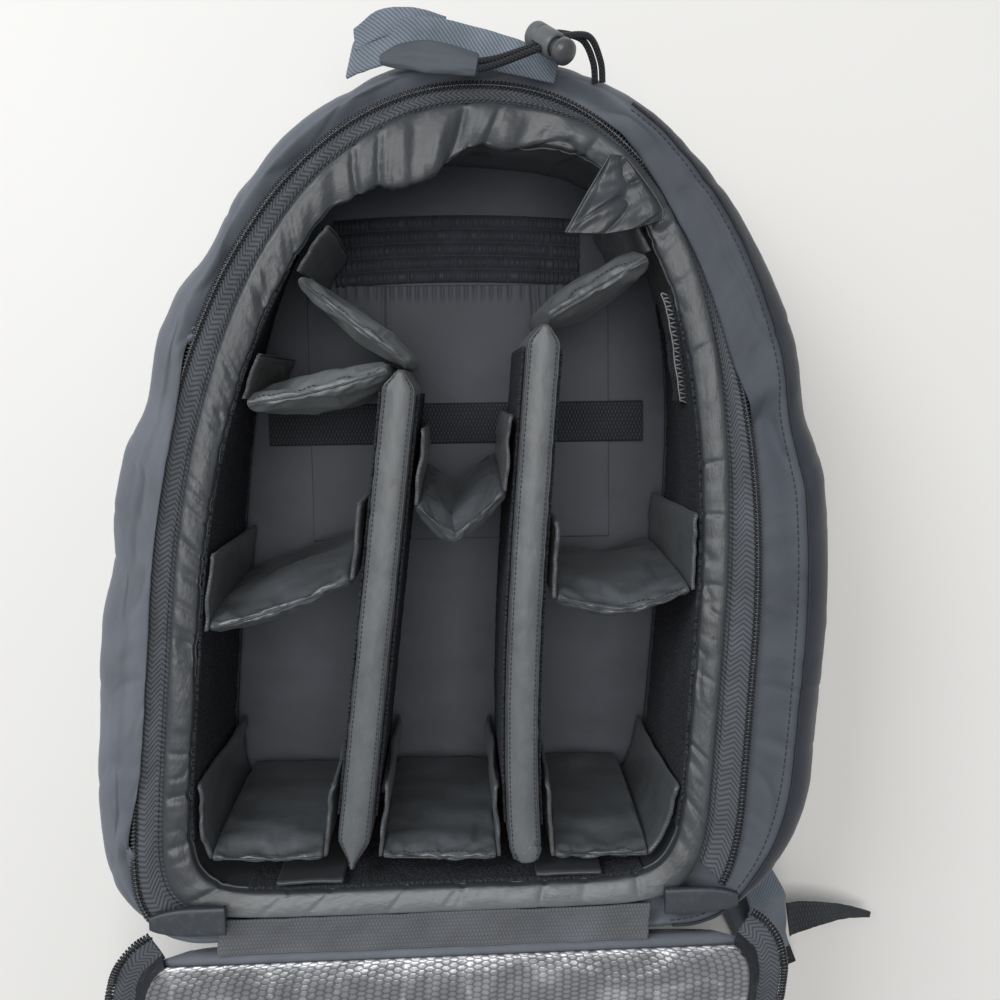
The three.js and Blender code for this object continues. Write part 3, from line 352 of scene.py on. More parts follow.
def flat_profile(width: float | Array, thick: float, count: int = 12) -> Array:
    """Section of a flat tape with rounded edges: |x / a|^p + |z / b|^p = 1, sampled evenly across."""
    turn = np.linspace(0, 2 * np.pi, 2 * count, endpoint=False)
    c, s = np.cos(turn), np.sin(turn)
    x = np.sign(c) * (1 - (1 - np.abs(c)) ** 1.3)
    z = np.sign(s) * (1 - np.abs(x) ** 14) ** 0.5
    half = np.reshape(np.asarray(width, float) / 2, (-1, 1))
    return np.stack([half * x, np.broadcast_to(z * thick / 2, (half.shape[0], len(turn)))], 2)


def copies(points: Array, quads: Array, origins: Array, axes: tuple[Array, Array, Array]) -> Patch:
    """A small shape placed many times: origin + x X + y Y + z Z for each of its points."""
    placed = origins[:, None] + sum(points[None, :, i:i + 1] * axes[i][:, None] for i in range(3))
    shift = (np.arange(len(origins)) * len(points))[:, None, None]
    faces = (quads[None] + shift).reshape(-1, 4)
    flat = placed.reshape(-1, 3)
    return Patch(flat, faces, np.zeros((0, 3), int), flat[faces][..., :2] * MM, np.zeros((0, 3, 2)))


def thread_bar(length: float, size: float) -> tuple[Array, Array]:
    """Points and faces of a short rounded bar of thread along X, that lies on Z = 0."""
    shares = np.array([-0.5, -0.42, 0, 0.42, 0.5])
    radii = np.array([0.25, 0.85, 1, 0.85, 0.25]) * size
    turn = np.linspace(0, 2 * np.pi, 6, endpoint=False)
    bar = np.stack([
        np.broadcast_to(shares[:, None] * length, (5, 6)), radii[:, None] * np.cos(turn),
        radii[:, None] * np.sin(turn) + 0.05,
    ], 2).reshape(-1, 3)
    i, j = np.meshgrid(np.arange(4), np.arange(6), indexing="ij")
    quads = np.stack([i * 6 + j, i * 6 + (j + 1) % 6, (i + 1) * 6 + (j + 1) % 6, (i + 1) * 6 + j], 2).reshape(-1, 4)
    ends = np.array([[0, 1, 2, 3], [0, 3, 4, 5], [27, 26, 25, 24], [29, 28, 27, 24]])
    return bar, np.concatenate([quads, ends])[:, ::-1]


def stitches(path: Array, pitch: float = 3.4, size: float = 0.34) -> Patch:
    """A row of thread stitches on cloth that faces up: short rounded bars along a path, a pitch apart."""
    count = max(2, int(length_of(path) / pitch))
    places = spaced(path, 2 * count + 1)
    origins, along = places[1::2], unit(places[2::2] - places[:-1:2])
    across = unit(np.cross([0.0, 0.0, 1.0], along))
    return copies(*thread_bar(pitch * 0.72, size), origins, (along, across, unit(np.cross(along, across))))


def rungs(path: Array, across: Sequence[float], width: float, pitch: float = 1.5, size: float = 0.3) -> Patch:
    """Thread bars laid across a path, as along an overlocked edge: every other one is a little slanted."""
    count = max(2, int(length_of(path) / pitch))
    places = spaced(path, count)
    along = unit(np.gradient(places, axis=0))
    slant = np.where(np.arange(count) % 2 == 0, 0.25, -0.25)[:, None]
    bars = unit(unit(np.broadcast_to(np.asarray(across, float), places.shape)) + along * slant)
    side = unit(np.cross(np.cross(bars, along), bars))
    return copies(*thread_bar(width, size), places, (bars, side, unit(np.cross(bars, side))))


# Finishes


class Weave(Enum):
    """How a cloth's threads stand."""

    PLAIN = "plain"
    TWILL = "twill"
    SATIN = "satin"
    RIBBED = "ribbed"
    HERRINGBONE = "herringbone"
    PILE = "pile"
    HONEYCOMB = "honeycomb"
    BRAID = "braid"


class Wire:
    """One socket of a material, on which Python's operators add Math nodes."""

    def __init__(self, tree: Tree, socket: bpy.types.NodeSocket) -> None:
        """Wrap a socket of a tree."""
        self.tree, self.socket = tree, socket

    def _with(self, operation: str, a: Wire | float, b: Wire | float | None = None) -> Wire:
        """A Math node on one or two values."""
        inputs = {0: a} if b is None else {0: a, 1: b}
        return self.tree.node("ShaderNodeMath", {"operation": operation}, inputs)

    def __add__(self, other: Wire | float) -> Wire:
        """Sum."""
        return self._with("ADD", self, other)

    __radd__ = __add__

    def __mul__(self, other: Wire | float) -> Wire:
        """Product."""
        return self._with("MULTIPLY", self, other)

    __rmul__ = __mul__

    def __sub__(self, other: Wire | float) -> Wire:
        """Difference."""
        return self._with("SUBTRACT", self, other)

    def __rsub__(self, other: Wire | float) -> Wire:
        """Difference from a number."""
        return self._with("SUBTRACT", other, self)

    def __truediv__(self, other: float) -> Wire:
        """Quotient."""
        return self._with("DIVIDE", self, other)

    def __pow__(self, other: float) -> Wire:
        """Power."""
        return self._with("POWER", self, other)

    def __gt__(self, other: float) -> Wire:
        """1 where it is greater."""
        return self._with("GREATER_THAN", self, other)

    def sine(self) -> Wire:
        """Sine, of radians."""
        return self._with("SINE", self)

    def size(self) -> Wire:
        """Distance from 0."""
        return self._with("ABSOLUTE", self)

    def floor(self) -> Wire:
        """Whole number below."""
        return self._with("FLOOR", self)

    def part(self) -> Wire:
        """What is over the whole number below."""
        return self._with("FRACT", self)

    def least(self, other: Wire | float) -> Wire:
        """The smaller."""
        return self._with("MINIMUM", self, other)

    def most(self, other: Wire | float) -> Wire:
        """The greater."""
        return self._with("MAXIMUM", self, other)


class Tree:
    """A material's nodes."""

    def __init__(self, name: str) -> None:
        """Start a material with no nodes."""
        self.material = bpy.data.materials.new(name)
        self.material.use_nodes = True
        self.nodes = self.material.node_tree.nodes
        self.nodes.clear()

    def node(
        self, kind: str, settings: dict | None = None, inputs: dict | None = None, output: int | str = 0
    ) -> Wire:
        """Add a node.

        Args:
            kind: the node's type.
            settings: its own settings, and the stops of a ramp as (place, colour) pairs.
            inputs: values or wires for its sockets.
            output: which output is returned.

        Returns:
            That output.
        """
        made = self.nodes.new(kind)
        for key, value in (settings or {}).items():
            if key == "stops":
                ramp = made.color_ramp
                while len(ramp.elements) < len(value):
                    ramp.elements.new(0.5)
                for element, (place, shade) in zip(ramp.elements, value):
                    element.position, element.color = place, (shade, shade, shade, 1)
            else:
                setattr(made, key, value)
        for key, value in (inputs or {}).items():
            if isinstance(value, Wire):
                self.material.node_tree.links.new(value.socket, made.inputs[key])
            else:
                made.inputs[key].default_value = value
        return Wire(self, made.outputs[output])

    def mixed(self, factor: Wire | float, a: Wire | Sequence[float], b: Wire | Sequence[float]) -> Wire:
        """Colour mix from a to b."""
        a, b = (c if isinstance(c, Wire) else (*c[:3], 1) for c in (a, b))
        return self.node("ShaderNodeMix", {"data_type": "RGBA"}, {0: factor, 6: a, 7: b}, 2)

    def scaled(self, colour: Wire, factor: Wire) -> Wire:
        """A colour times a number."""
        grey = self.node("ShaderNodeCombineXYZ", None, {0: factor, 1: factor, 2: factor})
        return self.node("ShaderNodeVectorMath", {"operation": "MULTIPLY"}, {0: colour, 1: grey})

    def place(self) -> tuple[Wire, Wire]:
        """The surface's own coordinates along and across, in millimetres."""
        uv = self.node("ShaderNodeUVMap", {"uv_map": "UVMap"})
        split = self.node("ShaderNodeSeparateXYZ", None, {0: uv})
        return split * 1000, Wire(self, split.socket.node.outputs[1]) * 1000

    def noise(self, x: Wire, y: Wire, size: float, stretch: float = 1.0, detail: float = 3.0) -> Wire:
        """Noise over two coordinates, its cells a size across and stretched along the first."""
        at = self.node("ShaderNodeCombineXYZ", None, {0: x / (size * stretch), 1: y / size, 2: 0.0})
        return self.node("ShaderNodeTexNoise", {"noise_dimensions": "2D"}, {"Vector": at, "Scale": 1.0,
                                                                            "Detail": detail, "Roughness": 0.55})

    def finished(self, shader: Wire) -> bpy.types.Material:
        """Join a shader to the material's output, and return the material."""
        output = self.nodes.new("ShaderNodeOutputMaterial")
        self.material.node_tree.links.new(shader.socket, output.inputs["Surface"])
        return self.material


def weave_height(kind: Weave, tree: Tree, u: Wire, v: Wire, pitch: float) -> Wire:
    """Height of a cloth's threads, from 0 to 1, with a pitch in millimetres.

    Plain is |sin| along times |sin| across by turns; twill and herringbone are ridges on the slant; ribbed has
    ridges across, set back by half on every other column; honeycomb is the distance to the nearer of two lattices'
    middles; braid is two slants crossed; pile and satin are noise.
    """
    wave = math.pi / pitch
    if kind is Weave.PLAIN:
        return ((u * wave).sine() * (v * wave).sine()) * 0.5 + 0.5
    if kind is Weave.TWILL:
        return ((u + v) * wave).sine().size() * 0.7 + ((u - v) * (wave * 2)).sine().size() * 0.3
    if kind is Weave.HERRINGBONE:
        fold = tree.node("ShaderNodeMath", {"operation": "PINGPONG"}, {0: v, 1: pitch * 1.6})
        return ((u + fold) * wave).sine().size()
    if kind is Weave.RIBBED:
        back = (v / (pitch * 1.15)).floor() * (math.pi / 2)
        return ((u * wave + back).sine().size() * 0.75 + (v * (wave / 1.15)).sine().size() * 0.25)
    if kind is Weave.BRAID:
        return ((u + v) * wave).sine().size() * ((u - v) * wave).sine().size()
    if kind is Weave.HONEYCOMB:
        x, y = u / pitch, v / (pitch * 1.25)
        cells = []
        for shift in (0.0, 0.5):
            dx = ((x + shift).part() - 0.5).size()
            dy = ((y / 1.7320508 + shift).part() - 0.5).size() * 1.7320508
            cells.append(dx.most(dx * 0.5 + dy * 0.8660254))
        return 1 - (cells[0].least(cells[1]) * 2) ** 3
    if kind is Weave.PILE:
        return tree.noise(u, v, pitch, detail=4.0)
    return tree.noise(u, v, pitch, 9.0, 2.0)


@dataclass(frozen=True)
class Cloth:
    """A cloth's finish. Colours are linear, sizes are in millimetres.

    tinted is the colour where the piece's field "tone" is 1 and crumple the height of its small creases; the last
    field is how much painted shade darkens the cloth between its threads.
    """

    name: str
    colour: tuple[float, float, float]
    tinted: tuple[float, float, float]
    roughness: float
    weave: Weave
    pitch: float
    depth: float
    sheen: float = 0.06
    sheen_roughness: float = 0.4
    crumple: float = 0.5
    crumple_size: float = 9.0
    crumple_stretch: float = 1.6
    metallic: float = 0.0
    coat: float = 0.0
    specular: float = 0.5
    thread_shade: float = 0.34

    def material(self) -> bpy.types.Material:
        """Build the finish's nodes, or find them if they are built."""
        name = f"finish_{self.name}"
        if name in bpy.data.materials:
            return bpy.data.materials[name]
        tree = Tree(name)
        u, v = tree.place()
        height = weave_height(self.weave, tree, u, v, self.pitch)
        patchy = tree.noise(u, v, 26.0, 1.4, 4.0)
        tone = tree.node("ShaderNodeAttribute", {"attribute_name": "tone"}, output="Fac")
        colour = tree.mixed(tone, self.colour, self.tinted)
        # Painted shade: the colour is darkened where the threads or loops are low, between them; patchy is random tone.
        shade = ((height - 0.5) * 3.4 + 0.5).most(0.0).least(1.0) if self.weave is Weave.PILE else height
        colour = tree.scaled(colour, (shade * self.thread_shade + (1 - self.thread_shade / 2)) * (patchy * 0.7 + 0.65))
        rough = (patchy - 0.5) * 0.22 + self.roughness
        crumple = tree.noise(u, v, self.crumple_size, self.crumple_stretch, 3.0)
        creased = tree.node("ShaderNodeBump", None, {"Height": crumple, "Distance": self.crumple * MM,
                                                     "Strength": 1.0})
        woven = tree.node("ShaderNodeBump", None, {"Height": height, "Distance": self.depth * MM, "Strength": 1.0,
                                                   "Normal": creased})
        shader = tree.node("ShaderNodeBsdfPrincipled", None, {
            "Base Color": colour, "Roughness": rough, "Metallic": self.metallic, "Normal": woven,
            "Sheen Weight": self.sheen, "Sheen Roughness": self.sheen_roughness, "Coat Weight": self.coat,
            "Coat Roughness": 0.25, "Specular IOR Level": self.specular,
        })
        return tree.finished(shader)


@dataclass(frozen=True)
class Moulded:
    """A moulded plastic: fine grain, worn and scuffed paler here and there."""

    name: str
    colour: tuple[float, float, float]
    worn: tuple[float, float, float]
    roughness: float
    grain: float = 0.04

    def material(self) -> bpy.types.Material:
        """Build the finish's nodes, or find them if they are built."""
        name = f"finish_{self.name}"
        if name in bpy.data.materials:
            return bpy.data.materials[name]
        tree = Tree(name)
        at = tree.node("ShaderNodeTexCoord", output="Object")
        scuffs = tree.node("ShaderNodeTexNoise", None, {"Vector": at, "Scale": 260.0, "Detail": 5.0})
        grain = tree.node("ShaderNodeTexNoise", None, {"Vector": at, "Scale": 2600.0, "Detail": 2.0})
        worn = tree.node("ShaderNodeMapRange", None, {0: scuffs, 1: 0.52, 2: 0.78})
        colour = tree.mixed(worn * 0.5, self.colour, self.worn)
        bump = tree.node("ShaderNodeBump", None, {"Height": grain, "Distance": self.grain * MM, "Strength": 1.0})
        shader = tree.node("ShaderNodeBsdfPrincipled", None, {
            "Base Color": colour, "Roughness": worn * 0.2 + self.roughness, "Normal": bump,
        })
        return tree.finished(shader)


# The nylon's tinted colour is much darker: on the right gusset it is partly the gusset's own darker cloth and partly
# painted shade.
NYLON = Cloth("nylon_cloth", (0.112, 0.126, 0.150), (0.032, 0.037, 0.049), 0.55, Weave.TWILL, 1.3, 0.05,
              sheen=0.08, crumple=0.25, crumple_size=14.0, specular=0.3, thread_shade=0.25)
# The walls' satin and the three satins after it are one lining cloth. The walls' copy is the darkest; the other three
# are lighter copies, painted light for the upward faces and shiny edges of the pads, long dividers and slants. The
# walls' tinted colour is a lighter copy too, painted light on the rim's crown and on flap hems.
SATIN = Cloth("satin_lining", (0.038, 0.043, 0.049), (0.115, 0.125, 0.132), 0.40, Weave.SATIN, 0.6, 0.030,
              crumple_size=8.0, crumple_stretch=1.9)
SATIN_PAINTED_LIGHTEST = Cloth("satin_painted_lightest", (0.150, 0.165, 0.172), (0.15, 0.165, 0.172), 0.40, Weave.SATIN, 0.6, 0.035,
                     crumple_size=10.0, crumple_stretch=2.0, specular=0.45)
SATIN_PAINTED_LIGHTER = Cloth("satin_painted_lighter", (0.100, 0.108, 0.114), (0.100, 0.108, 0.114), 0.42, Weave.SATIN, 0.6, 0.035,
                   crumple=0.35, crumple_stretch=2.4, specular=0.45)
PAD_SATIN_PAINTED_LIGHT = Cloth("pad_satin", (0.082, 0.092, 0.100), (0.10, 0.11, 0.12), 0.33, Weave.SATIN, 0.5, 0.030,
                   sheen=0.04, crumple_stretch=2.4, specular=0.6)
FLOOR_CLOTH = Cloth("floor_cloth", (0.078, 0.085, 0.103), (0.055, 0.058, 0.064), 0.6, Weave.PLAIN, 0.55, 0.02,
                    crumple=0.3, crumple_size=16.0, specular=0.3, thread_shade=0.12)
GATHER_CLOTH = Cloth("gather_cloth", (0.040, 0.044, 0.056), (0.055, 0.058, 0.064), 0.6, Weave.PLAIN, 0.8, 0.03,
                     crumple=0.3, crumple_size=4.0, specular=0.3, thread_shade=0.2)
PILE = Cloth("loop_pile", (0.020, 0.022, 0.029), (0.03, 0.032, 0.036), 0.9, Weave.PILE, 1.25, 1.1, sheen=0.05,
             sheen_roughness=0.8, crumple=0.6, crumple_size=2.8, crumple_stretch=1.0, specular=0.12, thread_shade=1.9)
# The tape's tinted colour, far darker, is painted shade at its edge in the corner by the wall.
ZIP_TAPE = Cloth("zip_tape", (0.064, 0.070, 0.080), (0.016, 0.017, 0.02), 0.7, Weave.HERRINGBONE, 2.7, 0.26,
                 crumple=0.15, specular=0.25, thread_shade=0.9)
GROSGRAIN = Cloth("grosgrain", (0.094, 0.100, 0.110), (0.03, 0.032, 0.036), 0.62, Weave.RIBBED, 1.8, 0.28,
                  crumple=0.3, specular=0.3, thread_shade=0.45)
BLACK_WEB = Cloth("black_webbing", (0.026, 0.029, 0.036), (0.04, 0.042, 0.045), 0.62, Weave.RIBBED, 2.1, 0.5,
                  crumple=0.2, specular=0.25, thread_shade=1.3)
GREY_WEB = Cloth("grey_webbing", (0.150, 0.178, 0.214), (0.20, 0.23, 0.26), 0.68, Weave.TWILL, 2.3, 0.50,
                 crumple_size=7.0, specular=0.25, thread_shade=0.85)
BLACK_CLOTH = Cloth("black_cloth", (0.020, 0.022, 0.028), (0.05, 0.052, 0.056), 0.6, Weave.PLAIN, 0.9, 0.06,
                    crumple=0.9, crumple_size=6.0, specular=0.3)
FOIL = Cloth("coated_lining", (0.22, 0.225, 0.24), (0.44, 0.45, 0.47), 0.36, Weave.HONEYCOMB, 3.4, 0.22,
             sheen=0.0, crumple=1.6, crumple_size=13.0, metallic=0.55, coat=0.3, thread_shade=0.9)
BRAID = Cloth("cord_braid", (0.020, 0.022, 0.028), (0.03, 0.03, 0.033), 0.55, Weave.BRAID, 1.9, 0.5,
              crumple=0.05, specular=0.3, thread_shade=1.2)
THREAD, EDGE_THREAD, PALE_THREAD = (
    Cloth(name, colour, (0.3, 0.3, 0.3), rough, Weave.PLAIN, 0.3, 0.02, crumple=0.02) for name, colour, rough in (
        ("thread", (0.018, 0.020, 0.024), 0.55), ("edge_thread", (0.060, 0.066, 0.072), 0.6),
        ("pale_thread", (0.22, 0.23, 0.23), 0.6),
    )
)
COIL_PLASTIC = Moulded("coil_plastic", (0.026, 0.028, 0.034), (0.09, 0.09, 0.095), 0.14)
BLACK_PLASTIC = Moulded("black_plastic", (0.010, 0.010, 0.012), (0.05, 0.05, 0.055), 0.34)
SLATE_PLASTIC = Moulded("slate_plastic", (0.034, 0.041, 0.050), (0.07, 0.08, 0.09), 0.42)
GREY_PLASTIC = Moulded("grey_plastic", (0.105, 0.112, 0.122), (0.16, 0.165, 0.17), 0.42)
DOME_PLASTIC = Moulded("dome_plastic", (0.060, 0.064, 0.072), (0.11, 0.115, 0.12), 0.30)
Finish = Cloth | Moulded


def make(
    name: str,
    patch: Patch,
    finish: Finish,
    replaced: Sequence[str] = (),
    body: str = BAG,
    thickness: float = 0.0,
) -> bpy.types.Object:
    """Make a piece of the bag.

    Args:
        name: the piece's name.
        patch: its faces.
        finish: what it is made of.
        replaced: the CAD nodes that it stands for.
        body: the body that it rides on.
        thickness: thickness given to a sheet, inwards from its faces.

    Returns:
        The object, at the origin.
    """
    mesh = bpy.data.meshes.new(name)
    corners = np.concatenate([patch.quads.ravel(), patch.triangles.ravel()])
    counts = [4] * len(patch.quads) + [3] * len(patch.triangles)
    starts = np.concatenate([[0], np.cumsum(counts)[:-1]])
    mesh.vertices.add(len(patch.points))
    mesh.vertices.foreach_set("co", (patch.points * MM).astype(np.float32).ravel())
    mesh.loops.add(len(corners))
    mesh.loops.foreach_set("vertex_index", corners.astype(np.int32))
    mesh.polygons.add(len(counts))
    mesh.polygons.foreach_set("loop_start", starts.astype(np.int32))
    mesh.update(calc_edges=True)
    uv = np.concatenate([patch.quad_uv.reshape(-1, 2), patch.triangle_uv.reshape(-1, 2)])
    mesh.uv_layers.new(name="UVMap").uv.foreach_set("vector", uv.astype(np.float32).ravel())
    for key, values in patch.fields.items():
        mesh.attributes.new(key, "FLOAT", "POINT").data.foreach_set("value", values.astype(np.float32))
    mesh.polygons.foreach_set("use_smooth", np.full(len(counts), True))
    mesh.validate()
    obj = bpy.data.objects.new(name, mesh)
    bpy.context.scene.collection.objects.link(obj)
    mesh.materials.append(finish.material())
    if thickness:
        solid = obj.modifiers.new("thickness", "SOLIDIFY")
        solid.thickness, solid.offset = thickness * MM, -1.0
    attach(obj, body)
    if replaced:
        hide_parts(*replaced)
    log.info("made %s: %d points", name, len(patch.points))
    return obj


def bevel(obj: bpy.types.Object, width: float, segments: int) -> None:
    """Round an object's sharp edges, to a width in millimetres."""
    edge = obj.modifiers.new("edge", "BEVEL")
    edge.width, edge.segments, edge.limit_method, edge.angle_limit = width * MM, segments, "ANGLE", SHARP


def read_points(obj: bpy.types.Object) -> Array:
    """A mesh's points, in millimetres."""
    flat = np.empty(len(obj.data.vertices) * 3, np.float32)
    obj.data.vertices.foreach_get("co", flat)
    return flat.reshape(-1, 3).astype(float) / MM


def write_points(obj: bpy.types.Object, points: Array) -> None:
    """Move a mesh's points, given in millimetres."""
    obj.data.vertices.foreach_set("co", (points * MM).astype(np.float32).ravel())
    obj.data.update()


class Inflation:
    """Cloth simulation with air pressure, run for all its pieces at once."""

    FRAMES = 20

    def __init__(self) -> None:
        """Start with no pieces."""
        self.waiting: list[tuple[bpy.types.Object, float]] = []

    def add(self, obj: bpy.types.Object, held: Array, pressure: float, cap: float, slack: float) -> None:
        """Have a piece inflated.

        Args:
            obj: a closed mesh.
            held: which points stay where they are, such as those of a seam.
            pressure: Blender's pressure.
            cap: how far a point may move, in millimetres.
            slack: how much larger the cloth is than the shape it starts from, as a share.
        """
        pins = obj.vertex_groups.new(name="held")
        pins.add([int(i) for i in np.flatnonzero(held)], 1.0, "REPLACE")
        cloth = obj.modifiers.new("air", "CLOTH")
        settings = cloth.settings
        settings.vertex_group_mass = "held"
        settings.use_pressure = True
        settings.uniform_pressure_force = pressure
        settings.shrink_min = -slack
        settings.quality = 6
        settings.mass = 0.25
        settings.tension_stiffness = settings.compression_stiffness = 20.0
        settings.shear_stiffness = 8.0
        settings.bending_stiffness = 0.08
        settings.effector_weights.gravity = 0.0
        cloth.collision_settings.use_collision = False
        cloth.collision_settings.use_self_collision = False
        cloth.point_cache.frame_start, cloth.point_cache.frame_end = 1, self.FRAMES
        self.waiting.append((obj, cap))

    def run(self) -> None:
        """Step the frames, keep each piece's last shape and take its modifier away."""
        scene = bpy.context.scene
        if not self.waiting:
            return
        for frame in range(1, self.FRAMES + 1):
            scene.frame_set(frame)
        graph = bpy.context.evaluated_depsgraph_get()
        shapes = []
        for obj, cap in self.waiting:
            blown = np.empty(len(obj.data.vertices) * 3, np.float32)
            obj.evaluated_get(graph).data.vertices.foreach_get("co", blown)
            start = read_points(obj)
            move = blown.reshape(-1, 3).astype(float) / MM - start
            far = np.linalg.norm(move, axis=1, keepdims=True)
            shapes.append(start + move * np.minimum(1, cap / np.maximum(far, 1e-9)))
        for (obj, _), points in zip(self.waiting, shapes):
            obj.modifiers.remove(obj.modifiers["air"])
            obj.vertex_groups.clear()
            write_points(obj, points)
        scene.frame_set(1)
        log.info("inflated %d pieces", len(self.waiting))
        self.waiting.clear()


# Plan outlines


@dataclass(frozen=True)
class Outline:
    """A plan outline: a superellipse, widest at WIDEST_Y, with its own half width and power on each side."""

    left: float
    right: float
    head: float
    foot: float
    left_power: float
    right_power: float
    foot_power: float

    def radius(self, b: Array) -> Array:
        """Distance from the middle at a bearing b: ((|cos b| / half)^p + (|sin b| / reach)^p)^(-1/p)."""
        c, s = np.cos(b), np.sin(b)
        half = np.where(c < 0, self.left, self.right)
        reach = np.where(s < 0, WIDEST_Y - self.foot, self.head - WIDEST_Y)
        power = np.where(s < 0, self.foot_power, np.where(c < 0, self.left_power, self.right_power))
        return ((np.abs(c) / half) ** power + (np.abs(s) / reach) ** power) ** (-1 / power)

    def y(self, b: Array) -> Array:
        """Y at a bearing, before the skew."""
        return WIDEST_Y + self.radius(b) * np.sin(b)

    def grown(self, by: float) -> Outline:
        """The outline moved outwards."""
        return Outline(self.left + by, self.right + by, self.head + by, self.foot - by, self.left_power,
                       self.right_power, self.foot_power)


BASE = Outline(136, 121, 186, -204, 3.2, 3.2, 8)
INSIDE = Outline(136, 121, 181, -206, 2.1, 2.35, 9)
COIL_LINE = Outline(163, 151, 203, -229, 2.2, 2.1, 8)
BELLY = Outline(190, 197, 222, -245, 2.1, 2.1, 4.6)
BASE_BACK, INSIDE_BACK = BASE.grown(PAD_WALL), INSIDE.grown(PAD_WALL)
SHELL_BASE = BASE_BACK.grown(3)
HEAD_FOLDS = ((108, 4, 0.4), (99, 11.5, 1.7), (88, 6, 0.8))


def skew(x: Array, y: Array) -> Array:
    """How far a point is moved along Y, because the foot end lies askew: tan(5.2 deg) x s^2 (3 - 2s)."""
    return FOOT_SKEW * x * ease((SKEW_FROM - y) / (SKEW_FROM - INSIDE.foot))


def at(b: Array, r: Array, z: Array | float) -> Array:
    """The point at a bearing, a distance from the middle and a height."""
    x, y = r * np.cos(b), WIDEST_Y + r * np.sin(b)
    return np.stack(np.broadcast_arrays(x, y + skew(x, y), z), axis=-1)


def rim_height(y: Array) -> Array:
    """Height of the padded wall's rim at a Y."""
    return lerp(RIM_FOOT, RIM_HEAD, np.clip((y - INSIDE.foot) / (INSIDE.head - INSIDE.foot), 0, 1))


def bearings(count: int, start: float | None = None, end: float | None = None) -> Array:
    """Bearings, in radians, that cut the belly's outline into equal lengths, all round or between two in degrees."""
    whole = start is None
    fine = np.radians(np.linspace(0 if whole else start, 360 if whole else end, 2000))
    path = at(fine, BELLY.radius(fine), 0.0)
    lengths = np.concatenate([[0], np.cumsum(np.linalg.norm(np.diff(path, axis=0), axis=1))])
    return np.interp(np.linspace(0, lengths[-1], count, endpoint=not whole), lengths, fine)


def wall_radius(b: Array, z: Array, back: bool = False) -> Array:
    """The padded wall's distance from the middle at a bearing and height: its inner face, or its back."""
    rim = rim_height(INSIDE.y(b))
    share = np.clip((z - INNER_FLOOR) / (rim - INNER_FLOOR), 0, 1)
    lean = sum(depth * hill(np.degrees(b), mid, spread, 360) for mid, spread, depth in HEAD_FOLDS)
    lean = lean * PAD_WALL * share**2
    if back:
        return lerp(BASE_BACK.radius(b), INSIDE_BACK.radius(b), share) - lean * 0.4
    return lerp(BASE.radius(b), INSIDE.radius(b), share) - lean


def mouth_radius(b: Array) -> Array:
    """The mouth that the shell's lip rolls in to, just behind the padded wall."""
    return lerp(BASE_BACK.radius(b), INSIDE_BACK.radius(b), 0.84) + 1.4


# Sub-assemblies


@dataclass
class Studio:
    """The floor, the lights and the camera."""

    camera_at: tuple[float, float, float] = (-14.0, 52.0, 700.0)
    focal_pixels: float = 1082.0
    nadir: tuple[float, float] = (454.0, 389.0)
    roll: float = 3.8
    frame: float = 1000.0
    sensor: float = 36.0

    @staticmethod
    def hung(name: str, data: bpy.types.ID, turn: Array, at_place: Sequence[float]) -> bpy.types.Object:
        """A camera or light with its axes in the columns of turn, at a place in metres."""
        obj = bpy.data.objects.new(name, data)
        place = Matrix(turn.tolist()).to_4x4()
        place.translation = at_place
        obj.matrix_world = place
        bpy.context.scene.collection.objects.link(obj)
        return obj

    def camera(self) -> None:
        """Set the camera above the bag: straight down is seen at the nadir's pixel, and north is turned by roll."""
        half = self.frame / 2
        down = unit(np.array([(self.nadir[0] - half) / self.focal_pixels, (half - self.nadir[1]) / self.focal_pixels,
                              -1.0]))
        north = np.array([math.sin(math.radians(self.roll)), math.cos(math.radians(self.roll)), 0.0])
        y = unit(north - down * float(north @ down))
        z = -down
        turn = np.array([np.cross(y, z), y, z])
        data = bpy.data.cameras.new("camera")
        data.sensor_width = self.sensor
        data.lens = self.focal_pixels * self.sensor / self.frame
        data.clip_start, data.clip_end = 0.01, 20.0
        bpy.context.scene.camera = self.hung("camera", data, turn, [c * MM for c in self.camera_at])

    def floor(self) -> None:
        """Lay a plain pale floor."""
        mesh = bpy.data.meshes.new("floor")
        size = 6.0
        mesh.from_pydata([(-size, -size, 0), (size, -size, 0), (size, size, 0), (-size, size, 0)], [],
                         [(0, 1, 2, 3)])
        floor = bpy.data.objects.new("floor", mesh)
        bpy.context.scene.collection.objects.link(floor)
        tree = Tree("floor")
        at_place = tree.node("ShaderNodeTexCoord", output="Object")
        grain = tree.node("ShaderNodeTexNoise", None, {"Vector": at_place, "Scale": 3.0, "Detail": 3.0})
        colour = tree.mixed(grain, (0.79, 0.785, 0.765), (0.84, 0.835, 0.815))
        shader = tree.node("ShaderNodeBsdfPrincipled", None, {"Base Color": colour, "Roughness": 0.6})
        mesh.materials.append(tree.finished(shader))

    def light(self, name: str, at_place: tuple[float, float, float], size: float, power: float,
              colour: tuple[float, float, float]) -> None:
        """Hang a soft square light that looks at the bag."""
        data = bpy.data.lights.new(name, "AREA")
        data.size, data.energy, data.color = size, power, colour
        aim = -unit(np.array(at_place) - np.array([0.0, -0.05, 0.05]))
        side = unit(np.cross(aim, [0.0, 1.0, 0.01]))
        turn = np.stack([side, np.cross(side, aim), -aim], axis=1)
        self.hung(name, data, turn, at_place)

    def build(self) -> None:
        """Camera, floor, a window's light from the left, a softer one from above and a pale sky."""
        self.camera()
        self.floor()
        self.light("window", (-2.0, 1.3, 2.5), 1.6, 54.0, (0.97, 0.985, 1.0))
        self.light("ceiling", (-0.1, 0.2, 2.4), 1.2, 27.0, (1.0, 0.98, 0.95))
        bpy.context.scene.view_settings.view_transform = "Standard"
        world = bpy.data.worlds.new("sky")
        world.use_nodes = True
        world.node_tree.nodes["Background"].inputs[0].default_value = (0.96, 0.97, 1.0, 1)
        world.node_tree.nodes["Background"].inputs[1].default_value = 0.36
        bpy.context.scene.world = world


